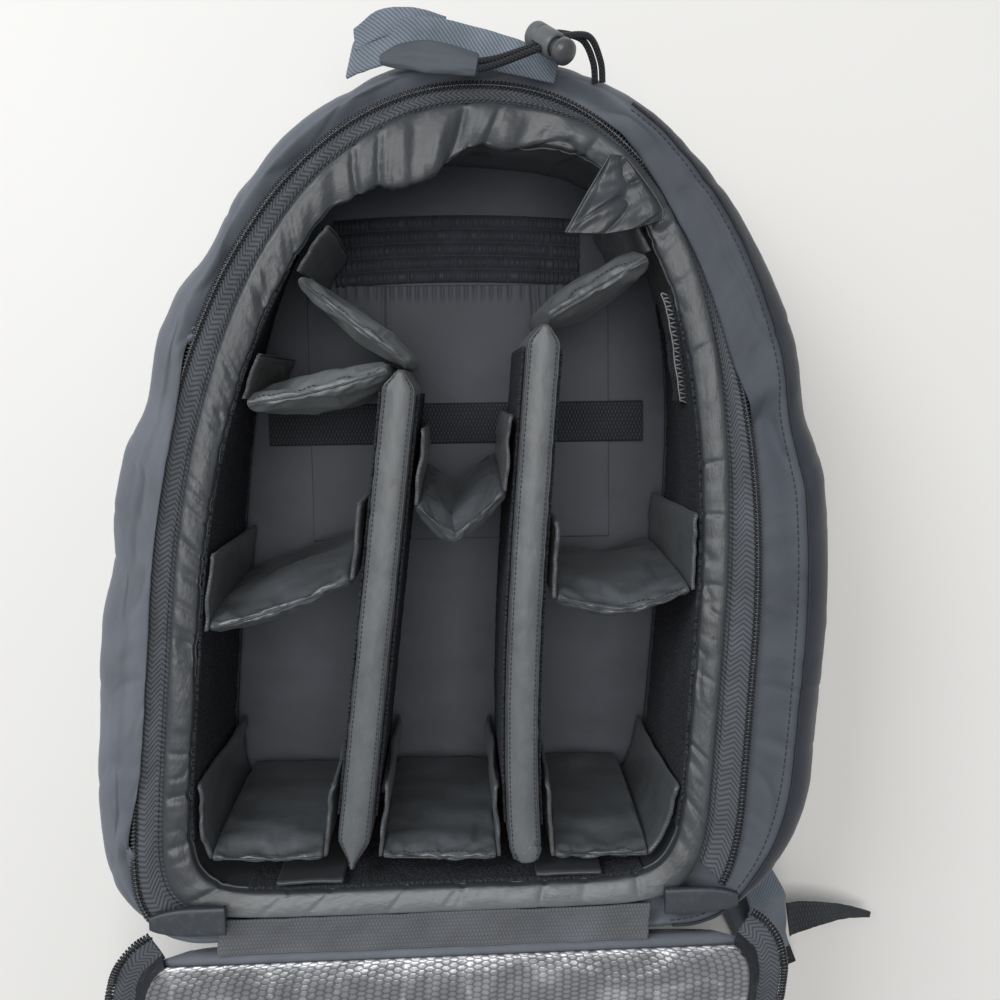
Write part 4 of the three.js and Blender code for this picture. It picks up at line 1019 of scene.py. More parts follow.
@dataclass
class DrawCord:
    """Two strands of elastic cord, and the sprung lock that they run through."""

    diameter: float = 3.2
    pitch: float = 3.7
    lock_at: tuple[float, float, float] = (19.0, 218.0, 171.0)
    lock_axis: tuple[float, float, float] = (0.60168, -0.50140, 0.62174)
    cord_run: tuple[float, float, float] = (0.783, 0.528, -0.332)
    outer: float = 6.5
    bore: float = 4.7
    length: float = 17.0
    floor: float = 2.0
    rest: float = 3.3
    travel: float = 3.0
    slot_at: float = 10.0

    def route(self, turn: int) -> Array:
        """The line of one strand: out of the fold, straight through the lock and down to the shell's ridge."""
        lock, run = np.array(self.lock_at), unit(np.array(self.cord_run))
        axis = unit(np.array(self.lock_axis))
        straight = [(lock + reach * run, axis) for reach in (-9, -4.6, 0, 4.6, 9)]
        runs = [
            ([-12.6, 207.5, 160.8], [0, -1, 0]), ([-3, 209, 165.5], [0.2, -0.85, 0.5]), *straight,
            ([38, 224, 161.5], [0.75, 0.3, 0.5]), ([45, 216, 154], [1, 0.2, 0]),
            ([47, 206.5, RIM_HEAD + self.diameter / 2 + GAP], [1, 0.2, 0]),
        ]
        points = np.array([np.array(p, float) + unit(np.array(s, float)) * turn * self.pitch / 2 for p, s in runs])
        return spaced(through(points, np.linspace(0, len(points) - 1, 240)), 90)

    def strand(self, number: int, turn: int) -> None:
        """One strand of braided cord."""
        path = self.route(turn)
        name = f"draw_cord_{number}"
        cord = make(f"{name}_braid", rod(path, self.diameter / 2, 14), BRAID, [name])

    def placed(self, points: Array) -> Array:
        """Points on the lock's own axes, moved to the lock."""
        axis, run = unit(np.array(self.lock_axis)), unit(np.array(self.cord_run))
        foot = np.array(self.lock_at) - axis * self.slot_at
        return foot + points[..., :1] * run + points[..., 1:2] * np.cross(axis, run) + points[..., 2:] * axis

    def turned(self, outline: Sequence[tuple[float, float]], name: str, finish: Finish, slot: str, node: str,
               body: str, slot_height: float) -> None:
        """A turned part of the lock with a slot across it for the cords.

        Args:
            outline: its closed section, as distance from the axis and height.
            name: the piece's name.
            finish: its finish.
            slot: the name of a material slot; not used.
            node: the CAD node that it stands for.
            body: the body that it rides on.
            slot_height: how far the slot goes up from its lower end.
        """
        section = np.array(outline, float)
        turn = np.linspace(0, 2 * np.pi, 40, endpoint=False)[:, None]
        points = np.stack([section[:, 0] * np.cos(turn), section[:, 0] * np.sin(turn),
                           np.broadcast_to(section[:, 1], (40, len(section)))], axis=-1)
        patch = grid(self.placed(points), ring_rows=True, ring_columns=True)
        obj = make(name, patch, finish, [node], body)
        half = (self.pitch + self.diameter) / 2 + GAP
        width = (self.diameter + 2.4 * GAP) / 2
        corners = np.array([[x, y, z] for z in (self.slot_at - half, self.slot_at + slot_height)
                            for x, y in ((-20, -width), (20, -width), (20, width), (-20, width))], float)
        block = self.placed(corners).reshape(2, 4, 3)
        cutter = make("cutter", grid(block, ring_columns=True, capped=True), finish)
        cut = obj.modifiers.new("slot", "BOOLEAN")
        cut.operation, cut.object, cut.solver = "DIFFERENCE", cutter, "EXACT"
        graph = bpy.context.evaluated_depsgraph_get()
        slotted = bpy.data.meshes.new_from_object(obj.evaluated_get(graph))
        obj.modifiers.clear()
        old, obj.data = obj.data, slotted
        bpy.data.meshes.remove(old)
        bpy.data.objects.remove(cutter)
        bevel(obj, 0.25, 2)

    def build(self) -> None:
        """Both strands, the barrel and the plunger."""
        for number, turn in ((1, 1), (2, -1)):
            self.strand(number, turn)
        o, b, top = self.outer, self.bore, self.length
        half = (self.pitch + self.diameter) / 2 + GAP
        barrel = [(0.02, 0), (o - 1.2, 0), (o - 0.3, 0.4), (o, 1.3), (o, 5.2), (o - 0.5, 5.6), (o - 0.5, 6.0),
                  (o, 6.4), (o, top - 1.6), (o - 0.25, top - 0.4), (o - 0.7, top), (b + 0.2, top), (b, top - 0.3),
                  (b, self.floor), (0.02, self.floor)]
        self.turned(barrel, "cord_lock_body", GREY_PLASTIC, "dark_plastic", "cord_lock_barrel", BAG, half)
        low, high, r, cap = self.floor + self.rest, top + self.rest, b - GAP, o - GAP
        plunger = [(0.02, low), (r - 0.4, low), (r, low + 0.5), (r, high), (cap - 0.4, high), (cap, high + 0.5),
                   (cap, high + 3.4), (cap - 0.35, high + 4.3), (cap - 1.3, high + 5.3), (cap - 2.8, high + 6.1),
                   (2.0, high + 6.55), (0.02, high + 6.7)]
        self.turned(plunger, "cord_lock_button", DOME_PLASTIC, "black_plastic", "cord_lock_plunger", "plunger",
                    half + self.travel)


@dataclass
class Shell:
    """The coated nylon bowl, whose lip rolls inwards to the zipper and folds over the coil on parts of both sides."""

    around: int = 620
    rows: int = 96
    thick: float = 1.6
    dip: tuple[float, float, float] = (270, 27, 44)
    # Height as a share, whether it is measured from the mouth, reach as a share, and how far the foot's dip lowers it
    section: tuple[tuple[float, int, float, float], ...] = (
        (0.0, 0, 0.02, 0), (0.035, 0, 0.4, 0), (0.25, 0, 0.82, 0), (0.66, 0, 1.0, 0), (0.9, 1, 0.9, 0.07),
        (1.0, 1, 0.66, 0.115), (0.955, 1, 0.38, 0.115), (0.935, 1, 0.02, 0.115),
    )
    dents: tuple[tuple[float, float, float], ...] = (
        (147, 9, 0.16), (127, 7, 0.14), (172, 10, 0.1), (38, 12, 0.1), (222, 8, 0.12),
    )
    covers: tuple[tuple[float, float, float], ...] = ((138, 211, 12), (44, 76, 12))

    def controls(self, b: Array) -> Array:
        """(bearings, rows, 2) radius and height of the section's rows, as the solids have them."""
        inner = np.stack([SHELL_BASE.radius(b), mouth_radius(b)], axis=1)
        degrees = np.degrees(b)
        dent = sum(depth * hill(degrees, mid, spread, 360) for mid, spread, depth in self.dents)
        belly = lerp(BELLY.radius(b), inner[:, 1], dent)
        height = rim_height(BELLY.y(b)) - SHELL_FLOOR
        middle, level, spread = self.dip
        away = np.abs((degrees - middle + 540) % 360 - 180)
        dip = 1 - ease((away - level) / (spread - level))
        rows = np.array(self.section)
        r = lerp(inner[:, rows[:, 1].astype(int)], belly[:, None], rows[:, 2])
        z = SHELL_FLOOR + height[:, None] * (rows[:, 0] - rows[:, 3] * dip[:, None])
        return np.stack([r, z], axis=2)

    def lip_height(self, b: Array, r: Array) -> Array:
        """Height of the rolled lip at a radius, on the straight lines between its rows."""
        lip = self.controls(b)[:, :4:-1]
        near = r < lip[:, 1, 0]
        low = np.where(near[:, None], lip[:, 0], lip[:, 1])
        high = np.where(near[:, None], lip[:, 1], lip[:, 2])
        return low[:, 1] + (r - low[:, 0]) * (high[:, 1] - low[:, 1]) / (high[:, 0] - low[:, 0])

    def cover(self, b: Array) -> Array:
        """How far the lip folds over the coil at a bearing, from 0 to 1."""
        degrees = np.degrees(b) % 360
        return np.clip(sum(ease((degrees - s + e) / (2 * e)) * ease((t + e - degrees) / (2 * e))
                           for s, t, e in self.covers), 0, 1)

    def build(self) -> None:
        """The shell, its piping and the stitches beside it."""
        b = bearings(self.around)
        rows = self.controls(b)
        folded = self.cover(b)
        coil = COIL_LINE.radius(b)
        top = self.lip_height(b, coil) + COIL + 2.6
        drawn, raised, over = (ease((folded - a) / w)[:, None] for a, w in ((0, 0.3), (0.25, 0.25), (0.35, 0.65)))
        beside = np.stack([coil + 2.3, self.lip_height(b, coil + 2.3)], axis=1)
        above = np.stack([coil + 2.6, top - 1.4], axis=1)
        ends = lerp(above, np.stack([coil - 3.2, top - 0.6], axis=1), over)
        crown = lerp(rows[:, 6], np.stack([lerp(rows[:, 5, 0], coil, 0.5), top + 0.8], axis=1), raised)
        last = lerp(lerp(rows[:, 7], beside, drawn), ends, raised)
        after = last + lerp(np.array([-0.4, -1.6]), np.array([1.0, -2.4]), raised)
        rows[:, 6] = lerp(crown, (rows[:, 5] + last) / 2 + [0, 0.8], over)
        rows = np.concatenate([rows[:, :7], last[:, None], after[:, None]], axis=1)
        t = np.concatenate([np.linspace(0, 1, 8)[:-1] ** 0.8, np.linspace(1, 8, self.rows - 7)])
        section = through(rows, t)
        inside = np.linspace(0.15, 0.95, 5)[None, :, None] * section[:, :1] * [1, 0] + section[:, :1] * [0, 1]
        section = np.concatenate([inside, section], axis=1)
        t = np.concatenate([np.zeros(5), t])
        points = at(b[:, None], section[..., 0], section[..., 1])
        arc = np.cumsum(np.linalg.norm(np.diff(points[:, 60], axis=0, append=points[:1, 60]), axis=1))[:, None]
        ridge, fine = Noise(11), Noise(12)
        turn = 2 * np.pi * arc / arc[-1]
        ring_x, ring_y = 7 * np.cos(turn), 7 * np.sin(turn)
        side = ease((t - 1.3) / 1.5) * ease((8 - t) / 2.5)
        soft = 1.1 * ridge(ring_x * 0.9, ring_y * 0.9, t * 0.7)
        folds = -0.8 * ridge.creases(ring_x * 1.1 + t * 0.3, ring_y * 1.1 + 9, t * 0.45) ** 2
        crinkle = 0.22 * fine.layered(ring_x * 3.5, ring_y * 3.5, t * 1.6)
        edge = 0.25 * fine(ring_x * 5, ring_y * 5, t) * ease((t - 4.6) / 0.8)
        way = normals(points, ring_rows=True)
        outwards = np.sign(np.sum(way[:, 50] * (points[:, 50] - [0, WIDEST_Y, 60]), axis=1).mean())
        points = points + way * outwards * ((soft + folds + crinkle) * side + edge)[..., None]
        points[..., 2] = np.maximum(points[..., 2], SHELL_FLOOR - 0.3)
        degrees = np.degrees(b) % 360
        # tone darkens the right gusset towards the darker tinted nylon: partly its own darker cloth, partly painted
        # shade on the side turned from the window; the lip's inner rows a quarter less.
        right = ease((degrees + 56) / 6) * ease((80 - degrees) / 6) + ease((degrees - 304) / 6)
        tone = np.clip(right, 0, 1)[:, None] * (1.0 - 0.25 * ease((t - 4.95) / 0.12))[None]
        shell = grid(points, ring_rows=True, tone=tone)
        corner, second, third = (shell.points[shell.quads[100, n]] for n in range(3))
        if np.sum(np.cross(second - corner, third - corner) * (corner - [0, WIDEST_Y, 60])) < 0:
            shell = shell.turned_over()
        make("shell_cloth", shell, NYLON, ["shell"], thickness=self.thick)
        # Piping along the ridge of the right gusset, and stitches inside it
        column = int(np.argmin(np.abs(t - 4.98)))
        gusset = np.flatnonzero(right > 0.5)
        gusset = gusset[np.argsort((degrees[gusset] + 100) % 360)]
        path = spaced(points[gusset, column] + way[gusset, column] * outwards * 0.7, 260)
        make("gusset_piping", rod(path, 0.8, 8), BLACK_CLOTH)
        inner = points[gusset, column + 4] + way[gusset, column + 4] * outwards * 0.1
        make("gusset_stitches", stitches(spaced(inner, 300)), THREAD)


@dataclass
class Lining:
    """The padded walls, their loop bands and the padded back."""

    around: int = 760
    columns: int = 60

    def wall(self) -> None:
        """Padded wall: its section goes up the inner face, over a round rim and down the back, puckered on the way."""
        b = bearings(self.around)
        rim = rim_height(INSIDE.y(b))
        low = INNER_FLOOR + GAP
        soften = PAD_WALL * 0.42
        up = np.linspace(0, 1, 30)[None] ** 0.85
        heights = lerp(low, (rim - soften)[:, None], up)
        inner = at(b[:, None], wall_radius(b[:, None], heights), heights)
        top = (rim - soften)[:, None]
        r_in, r_out = wall_radius(b, top[:, 0]), mouth_radius(b) - 0.6
        lap = np.linspace(0, np.pi, 14)[1:-1]
        across = (1 - np.cos(lap)) / 2
        r_top = lerp(r_in[:, None], r_out[:, None], across)
        z_top = top + (soften - 2.6 * (1 - across)) * np.sin(lap) ** 0.45
        crown = at(b[:, None], r_top, z_top)
        down = lerp(top, np.full((len(b), 1), low), np.linspace(0, 1, 16)[None])
        gap = (r_out - wall_radius(b, top[:, 0], True))[:, None] * ease((down - 60) / (top - 60))
        back = at(b[:, None], wall_radius(b[:, None], down, True) + gap, down)
        points = np.concatenate([inner, crown, back], axis=1)
        column = np.concatenate([up[0] * 30, 30 + across * 12, 42 + np.linspace(0, 16, 16)])
        arc = np.cumsum(np.linalg.norm(np.diff(points[:, 29], axis=0, append=points[:1, 29]), axis=1))
        turn = 2 * np.pi * arc / arc[-1]
        slanted = turn[:, None] + 0.0032 * (column - 33)
        x, y = 7 * np.cos(slanted), 7 * np.sin(slanted)
        near_rim = hill(column, 33, 14) + 0.12 * hill(column, 18, 12)
        back_mask = ease((44 - column) / 6)
        pucker, soft = Noise(21), Noise(22)
        degrees = np.degrees(b)[:, None]
        head = ease((degrees - 62) / 10) * ease((118 - degrees) / 8)
        where = ease(1.2 * soft(x * 0.7, y * 0.7) + 0.5)
        tucks = 1.7 * pucker.creases(x * 1.25, y * 1.25, column * 0.03) ** 4
        fine = 1.25 * pucker.creases(x * 3.7 + 5, y * 3.7, column * 0.05) ** 3 * where
        ripple = 0.35 * pucker.layered(x * 2.6, y * 2.6, column * 0.09) - tucks - fine
        gather = head * ease((column - 5) / 12) * (
            2.0 * soft(x * 1.1 + 3, y * 1.1, column * 0.08) + 0.9 * pucker(x * 2.3, y * 2.3 + 5, column * 0.12)
            - 3.0 * soft.creases(x * 1.6, y * 1.6 + 7, column * 0.05) ** 3)
        way = normals(points, ring_rows=True, ring_columns=True)
        inwards = np.sign(np.sum(way[:, 10] * ([0, WIDEST_Y, 90] - points[:, 10]), axis=1).mean())
        moved = points + way * inwards * ((ripple * near_rim + gather) * back_mask)[..., None]
        foot = ease((degrees - 226) / 10) * ease((314 - degrees) / 10)
        # Painted light: tone lifts the rim's crown towards the satin's lighter tinted copy, faintly all round and
        # strongly along the foot.
        band = ease((column - 29.5) / 2) * ease((44 - column) / 3) * (0.06 + 0.94 * foot)
        patch = grid(moved, ring_rows=True, ring_columns=True, tone=np.broadcast_to(band, moved.shape[:2]))
        make("padded_walls", patch, SATIN, [f"padded_wall_{s}" for s in ("left", "head", "right", "foot")])
        seam = moved[:, 28] + way[:, 28] * inwards * 0.35
        make("wall_piping", rod(np.concatenate([seam, seam[:1]]), 0.75, 6), SATIN)

    def bands(self) -> None:
        """Loop bands on the walls: a sheet of pile with a ragged edge."""
        rough = Noise(23)
        for side, start, end in (("left", 119, 218), ("right", -41, 61), ("foot", 231, 309)):
            b = bearings(int(2.4 * (end - start)), start, end)
            rim = rim_height(INSIDE.y(b))
            share = np.linspace(0, 1, 60)[None]
            ragged = 1.2 * rough(np.degrees(b) * 0.7, 0.5)
            z = lerp(BAND_FROM + ragged[:, None], (rim - BAND_BELOW_RIM + ragged * 0.5)[:, None], share)
            proud = 0.55 + BAND + 0.45 * rough(np.degrees(b)[:, None] * 2.2, z / 1.7)
            points = at(b[:, None], wall_radius(b[:, None], z) - proud, z)
            middle = -np.mean(points.reshape(-1, 3), axis=0) * [1, 1, 0] + [0, WIDEST_Y, 0]
            make(f"wall_loop_{side}", grid(points, facing=middle), PILE, [f"loop_band_{side}"],
                 thickness=BAND)

    def back(self) -> None:
        """The padded back: a low cushion that fills the floor."""
        b = bearings(240)
        edge = BASE_BACK.grown(-1).radius(b)
        shares = np.concatenate([np.linspace(0.001, 0.97, 40), [0.99, 1.0, 1.0, 0.99, 0.95, 0.5, 0.1]])
        heights = np.concatenate([np.full(40, 10.0), [9.6, 8.4, 1.6, 0.4, 0, 0, 0]])
        soft = Noise(24)
        points = at(b[:, None], edge[:, None] * shares, 0.0)
        dimple = 0.5 * soft.layered(points[..., 0] / 45, points[..., 1] / 45) * (heights > 9.9)
        points[..., 2] = 17.8 + heights - np.abs(dimple)
        patch = grid(points, ring_rows=True, facing=(0, 0, 1))
        patch.quad_uv = patch.points[patch.quads][..., :2] * MM
        make("padded_back", patch, FLOOR_CLOTH, ["back_foam"])

    def build(self) -> None:
        """Walls, bands and back."""
        self.wall()
        self.bands()
        self.back()


@dataclass
class Zipper:
    """The zipper round the bag's mouth: woven tape, coil and the stitches that hold it."""

    shell: Shell
    start: float = -43.0
    end: float = 226.0
    tooth_pitch: float = 2.0

    def teeth(self, path: Array, ups: Array, width: float) -> Patch:
        """Coil teeth: half loops over the coil's core, one pitch apart along a path."""
        count = int(length_of(path) / self.tooth_pitch)
        places = spaced(path, count)
        along = unit(np.gradient(places, axis=0))
        ups = unit(spaced(ups, count))
        across = unit(np.cross(along, ups))
        ups = np.cross(across, along)
        arc = np.linspace(-0.15 * np.pi, 1.15 * np.pi, 8)
        centre = np.stack([0.3 * np.cos(arc), np.cos(arc) * width / 2, np.sin(arc)], axis=1)
        loop = tube(centre, 0.68, 5)
        i, j = np.meshgrid(np.arange(7), np.arange(5), indexing="ij")
        quads = np.stack([i * 5 + j, (i + 1) * 5 + j, (i + 1) * 5 + (j + 1) % 5, i * 5 + (j + 1) % 5], 2)
        return copies(loop.reshape(-1, 3), quads.reshape(-1, 4), places, (along, across, ups))

    def run(self, name: str, path: Array, ups: Array, nodes: Sequence[str]) -> None:
        """A length of coil: its core and its teeth."""
        make(name, rod(path, 0.95, 6) + self.teeth(path, ups, 3.1), COIL_PLASTIC, nodes)

    def build(self) -> None:
        """Tape, coil and a row of stitches."""
        b = bearings(620, self.start, self.end)
        coil = COIL_LINE.radius(b)
        begin, finish = mouth_radius(b) - 2 * GAP, coil - 0.9
        low, high = self.shell.lip_height(b, mouth_radius(b)), self.shell.lip_height(b, coil)
        share = np.linspace(0, 1, 16)[None]
        wavy = Noise(31)
        arc = np.degrees(b)[:, None]
        r = lerp(begin[:, None], finish[:, None], share)
        sag = 0.7 * wavy.layered(arc / 3.1, share * 1.3) * np.sin(np.pi * share)
        z = lerp((low + 2.0)[:, None], (high + 2.2)[:, None], share) + 0.6 * np.sin(np.pi * share) + sag
        points = at(b[:, None], r, z)
        # Painted shade: tone darkens the tape's first tenth, in the corner where it meets the wall's back.
        edge = 1 - ease((share - 0.02) / 0.1)
        patch = grid(points, facing=(0, 0, 1), tone=np.broadcast_to(edge, r.shape))
        make("mouth_zip_tape", patch, ZIP_TAPE, ["body_zip_tape"], thickness=0.8)
        make("mouth_zip_stitches", stitches(points[:, 3] + [0, 0, 0.25], 2.8, 0.28), THREAD)
        ups = np.broadcast_to([0.0, 0.0, 1.0], (len(b), 3))
        path = at(b, coil, high + COIL / 2 + 3 * GAP - 0.3)
        self.run("mouth_zip_coil", path, ups, ["body_zip_coil"])


@dataclass
class Dividers:
    """The padded dividers, their flaps, seams and loop bands."""

    air: Inflation
    long_lines: tuple[tuple[str, float, float, float, float], ...] = (
        ("left", -41.0, -51.0, 60.0, 1.0), ("right", 29.5, 43.0, 88.0, 4.0),
    )
    # Name, from, to, from_y, to_y, sag, thick, lean, peak (0 for a round bow)
    crossing: tuple[tuple, ...] = (
        ("divider_left_middle", "left_wall", "left_out", -78, -47, 3, 17, 8, 0),
        ("divider_left_low", "left_wall", "left_out", -198.7, -194.6, 1, 14, 6, 0),
        ("divider_middle_v", "left_in", "right_in", -7, 3, 21, 13, 12, 0.47),
        ("divider_middle_low", "left_in", "right_in", -192.8, -189.5, 1, 14, 8, 0),
        ("divider_right_middle", "right_out", "right_wall", -50, -41, 9, 15, 8, 0),
        ("divider_right_low", "right_out", "right_wall", -187.7, -184.1, 0, 12, 10, 0),
    )
    # Name, x, y, wall side, wall_y, thick, sag
    slanting: tuple[tuple, ...] = (
        ("divider_head_left", -37.0, 63.6, -1, 103, 13, 2), ("divider_left_high", -47.5, 59.0, -1, 38, 19, 2),
        ("divider_head_right", 30.5, 91.6, 1, 126, 22, 0),
    )

    def long_x(self, side: str, y: Array) -> Array:
        """X of a long divider at a Y."""
        _, head_x, foot_x, head_y, power = next(row for row in self.long_lines if row[0] == side)
        share = np.clip((head_y - np.asarray(y, float)) / (head_y - INSIDE.foot), 0, 1)
        return lerp(head_x, foot_x, share**power)

    @staticmethod
    def wall_x(side: int, y: Array) -> Array:
        """X of the padded wall's inner face at a Y: the lesser of its foot's and its rim's."""
        b = np.radians(np.linspace(-88, 88, 1200)) if side > 0 else np.radians(np.linspace(268, 92, 1200))
        found = []
        for outline in (BASE, INSIDE):
            line = at(b, outline.radius(b), 0.0)
            found.append(np.abs(np.interp(y, line[:, 1], line[:, 0])))
        return np.minimum(*found)

    def face(self, where: str, y: Array) -> Array:
        """X of the face that a divider's flap lies on, at a Y."""
        beside_long = LONG_THICK / 2 + BAND + 2 * GAP + FLAP / 2 + 1.2
        return {
            "left_wall": lambda: -self.wall_x(-1, y) + BESIDE_WALL,
            "left_out": lambda: self.long_x("left", y) - beside_long,
            "left_in": lambda: self.long_x("left", y) + beside_long,
            "right_in": lambda: self.long_x("right", y) - beside_long,
            "right_out": lambda: self.long_x("right", y) + beside_long,
            "right_wall": lambda: self.wall_x(1, y) - BESIDE_WALL,
        }[where]()

    @staticmethod
    def pad(line: Array, thick: Array, top: float, lean: float, profile: Array) -> Array:
        """A pad's grid: a profile of (side, height) carried along a line seen from above.

        Args:
            line: (n, 2) plan points.
            thick: (n,) thickness.
            top: height of its upper edge.
            lean: how far its foot lies towards the head end from its upper edge.
            profile: (m, 2) closed section.

        Returns:
            (n, m, 3) points.
        """
        along = unit(np.gradient(line, axis=0))
        out = profile[None, :, 0] * thick[:, None] / 2
        drop = (1 - profile[:, 1])[None]
        x = line[:, :1] - along[:, 1:] * out
        y = line[:, 1:] + along[:, :1] * out + lean * drop
        z = np.broadcast_to(lerp(DIVIDER_FROM, top, profile[:, 1]), x.shape)
        return np.stack([x, y, z], axis=-1)

    @staticmethod
    def profile(kind: str, count: int = 44) -> Array:
        """A pad's closed section: round like a pillow, or flat-topped like a wall."""
        half = {
            "pillow": [(0.55, 0.0), (0.95, 0.16), (1.04, 0.42), (1.0, 0.72), (0.82, 0.9), (0.42, 0.98)],
            "wall": [(0.8, 0.0), (0.98, 0.1), (1.0, 0.5), (1.0, 0.9), (0.97, 0.965), (0.72, 0.992)],
        }[kind]
        sides = [(-s, h) for s, h in half] + [(0.0, 1.0)] + [(s, h) for s, h in reversed(half)] + [(0.0, -0.004)]
        return through(np.array(sides), np.linspace(0, len(sides), count, endpoint=False), closed=True)

    def flap(self, xs: Array, ys: Array, low: float, top: float, side: float, seed: int) -> Patch:
        """A thin sewn tab along plan points: a wavy sheet with a thick hem, its free end ragged."""
        count = len(xs)
        heights = np.linspace(0, 1, 30)[None]
        wave = Noise(seed)
        ragged = 1.6 * wave(np.arange(count) / 5.0, 3.0)[:, None]
        z = lerp(low, top + ragged, heights)
        share = np.linspace(0, 1, count)[:, None]
        bend = 0.9 * wave.layered(share * 3, heights * 2.6) * ease(share * 2)
        hem = 0.55 * (hill(heights, 0.97, 0.05) + hill(share, 0.97, 0.06))
        x = xs[:, None] + side * (bend - hem)
        y = ys[:, None] + 0 * z
        points = np.stack([x, y, z], axis=-1)
        # Painted light: tone lightens the hem along the top edge and free end towards the finish's lighter tinted
        # colour.
        return grid(points, facing=(-side, 0, 0), tone=np.broadcast_to(hem, x.shape))

    @staticmethod
    def overlock(flap: Patch, count: int, side: float) -> Patch:
        """Thread bars over a flap's upper edge and down its free end."""
        sheet = flap.points.reshape(count, -1, 3)
        top, end = sheet[:, -1] + [side * 0.9, 0, 0.1], sheet[-1, ::-1] + [side * 0.9, 0.1, 0]
        return rungs(top, (1, 0, 0), 1.9, 0.95, 0.24) + rungs(end, (1, 0, 0), 1.9, 0.95, 0.24)

    def dress(self, name: str, points: Array, finish: Finish, seams: Sequence[int], slack: float, cap: float,
              seed: int, wrinkle: float = 1.0) -> None:
        """Make a pad with its seams held and the rest blown up, and remember it for its piping."""
        rows, columns = points.shape[:2]
        ripple = Noise(seed)
        share = np.linspace(0, 1, rows)[:, None]
        column = np.arange(columns)[None]
        way = normals(points, ring_columns=True)
        middle = points.mean(axis=(0, 1))
        out = np.sign(np.sum(way * (points - points.mean(axis=1, keepdims=True)), axis=-1).mean())
        near_seam = sum(hill(np.broadcast_to(column, (rows, columns)), s, 6, columns) for s in seams)
        length = length_of(points[:, columns // 2])
        folds = 0.55 * ripple.layered(share * length / 9.0, column * 0.35)
        folds = wrinkle * (folds + 0.9 * near_seam * ripple(share * length / 5.0, column * 0.12))
        ends = np.sin(np.pi * share) ** 0.5
        points = points + way * out * (folds * ends)[..., None]
        piece = make(name, grid(points, ring_columns=True, capped=True), finish, [name[:-4]])
        held = np.zeros((rows, columns), bool)
        held[:2] = held[-2:] = True
        held[:, list(seams)] = True
        held |= np.broadcast_to(points[..., 2] < DIVIDER_FROM + 6, held.shape)
        self.air.add(piece, np.append(held.ravel(), [True, True]), 3.0, cap, slack)
        self.made.append((name, piece, rows, columns, list(seams)))

    def trims(self) -> None:
        """Piping along each pad's held seams, from the pads' final shapes."""
        for name, piece, rows, columns, seams in self.made:
            finer = piece.modifiers.new("finer", "SUBSURF")
            finer.levels = finer.render_levels = 1
            points = read_points(piece)[:rows * columns].reshape(rows, columns, 3)
            piping = [rod(spaced(points[1:-1, s] + [0, 0, 0.15], 3 * rows), 0.6, 7) for s in seams]
            make(f"{name[:-4]}_piping", joined(piping), SATIN)
            if len(seams) > 1:
                beside = (seams[0] + 2, seams[-1] - 2)
            else:
                crest, half = seams[0], rows // 2
                beside = (crest + 3 if points[half, crest + 3, 1] > points[half, crest, 1] else crest - 3,)
            sewn = [stitches(spaced(points[2:-2, i] + [0, 0, 0.25], 120), 2.6, 0.26) for i in beside]
            make(f"{name[:-4]}_stitches", joined(sewn), THREAD)

    def cross(self) -> None:
        """The six cross dividers, with a flap at each end that lies on its face towards the head."""
        profile = self.profile("pillow")
        crest = int(np.argmax(profile[:, 1]))
        for seed, (name, start, end, y0, y1, sag, thick, lean, peak) in enumerate(self.crossing):
            x0, x1 = float(self.face(start, y0)), float(self.face(end, y1))
            inward = FLAP / 2 + 0.6
            share = np.linspace(0.015, 0.985, 46)
            turn = peak or 0.5
            towards = np.where(share < turn, share / turn, (1 - share) / (1 - turn))
            bow = towards**0.9 if peak else np.sin(np.pi / 2 * towards)
            line = np.stack([lerp(x0 + inward, x1 - inward, share), lerp(y0, y1, share) - sag * bow], axis=1)
            width = np.maximum(FLAP, thick * np.sin(np.pi * share) ** 0.22)
            points = self.pad(line, width, DIVIDER_TOP, lean, profile)
            # The pads' satin is a lighter copy of the walls' satin: painted light.
            self.dress(f"{name}_pad", points, PAD_SATIN_PAINTED_LIGHT, [crest], 0.05, 3.0, 40 + seed)
            flaps, edges = [], []
            for x_of, y, side in ((start, y0, 1), (end, y1, -1)):
                ys = np.linspace(y - 0.6, y + FLAP_LENGTH, 34)
                xs = self.face(x_of, ys) + side * FLAP / 2
                flaps.append(self.flap(xs, ys, DIVIDER_FROM + 3, DIVIDER_TOP - 1.5, side, 60 + seed))
                edges.append(self.overlock(flaps[-1], 34, side))
            make(f"{name}_flaps", joined(flaps), PAD_SATIN_PAINTED_LIGHT, thickness=FLAP_SHEET)
            make(f"{name}_flap_edges", joined(edges), EDGE_THREAD)

    def slants(self) -> None:
        """The three slanted dividers at the head, pinched at the long dividers and flapped at the wall."""
        profile = self.profile("pillow")
        crest = int(np.argmax(profile[:, 1]))
        for seed, (name, x, y, side, wall_y, thick, sag) in enumerate(self.slanting):
            edge = float(side * (self.wall_x(side, wall_y) - BESIDE_WALL))
            share = np.linspace(0.0, 0.985, 46)
            line = np.stack([lerp(x, edge - side * 2, share), lerp(y, wall_y - 1, share) - sag * np.sin(np.pi * share)],
                            axis=1)
            width = np.maximum(FLAP, thick * np.sin(np.pi * np.clip(share, 0.02, 0.98)) ** 0.3)
            points = self.pad(line, width, SLANT_TOP, 0.0, profile)
            # The slants' satins are lighter copies of the walls' satin: painted light.
            self.dress(f"{name}_pad", points, SATIN_PAINTED_LIGHTER if seed == 2 else SATIN_PAINTED_LIGHTEST, [crest], 0.05, 3.0, 70 + seed)
            ys = np.linspace(wall_y + 2, wall_y + 0.64 * FLAP_LENGTH, 24)
            xs = side * (self.wall_x(side, ys) - BESIDE_WALL) - side * FLAP / 2
            sheet = self.flap(xs, ys, DIVIDER_FROM + 3, SLANT_TOP - 1, -side, 80 + seed)
            make(f"{name}_flap", sheet, SATIN, thickness=FLAP_SHEET)
            make(f"{name}_flap_edge", self.overlock(sheet, 24, -side), EDGE_THREAD)

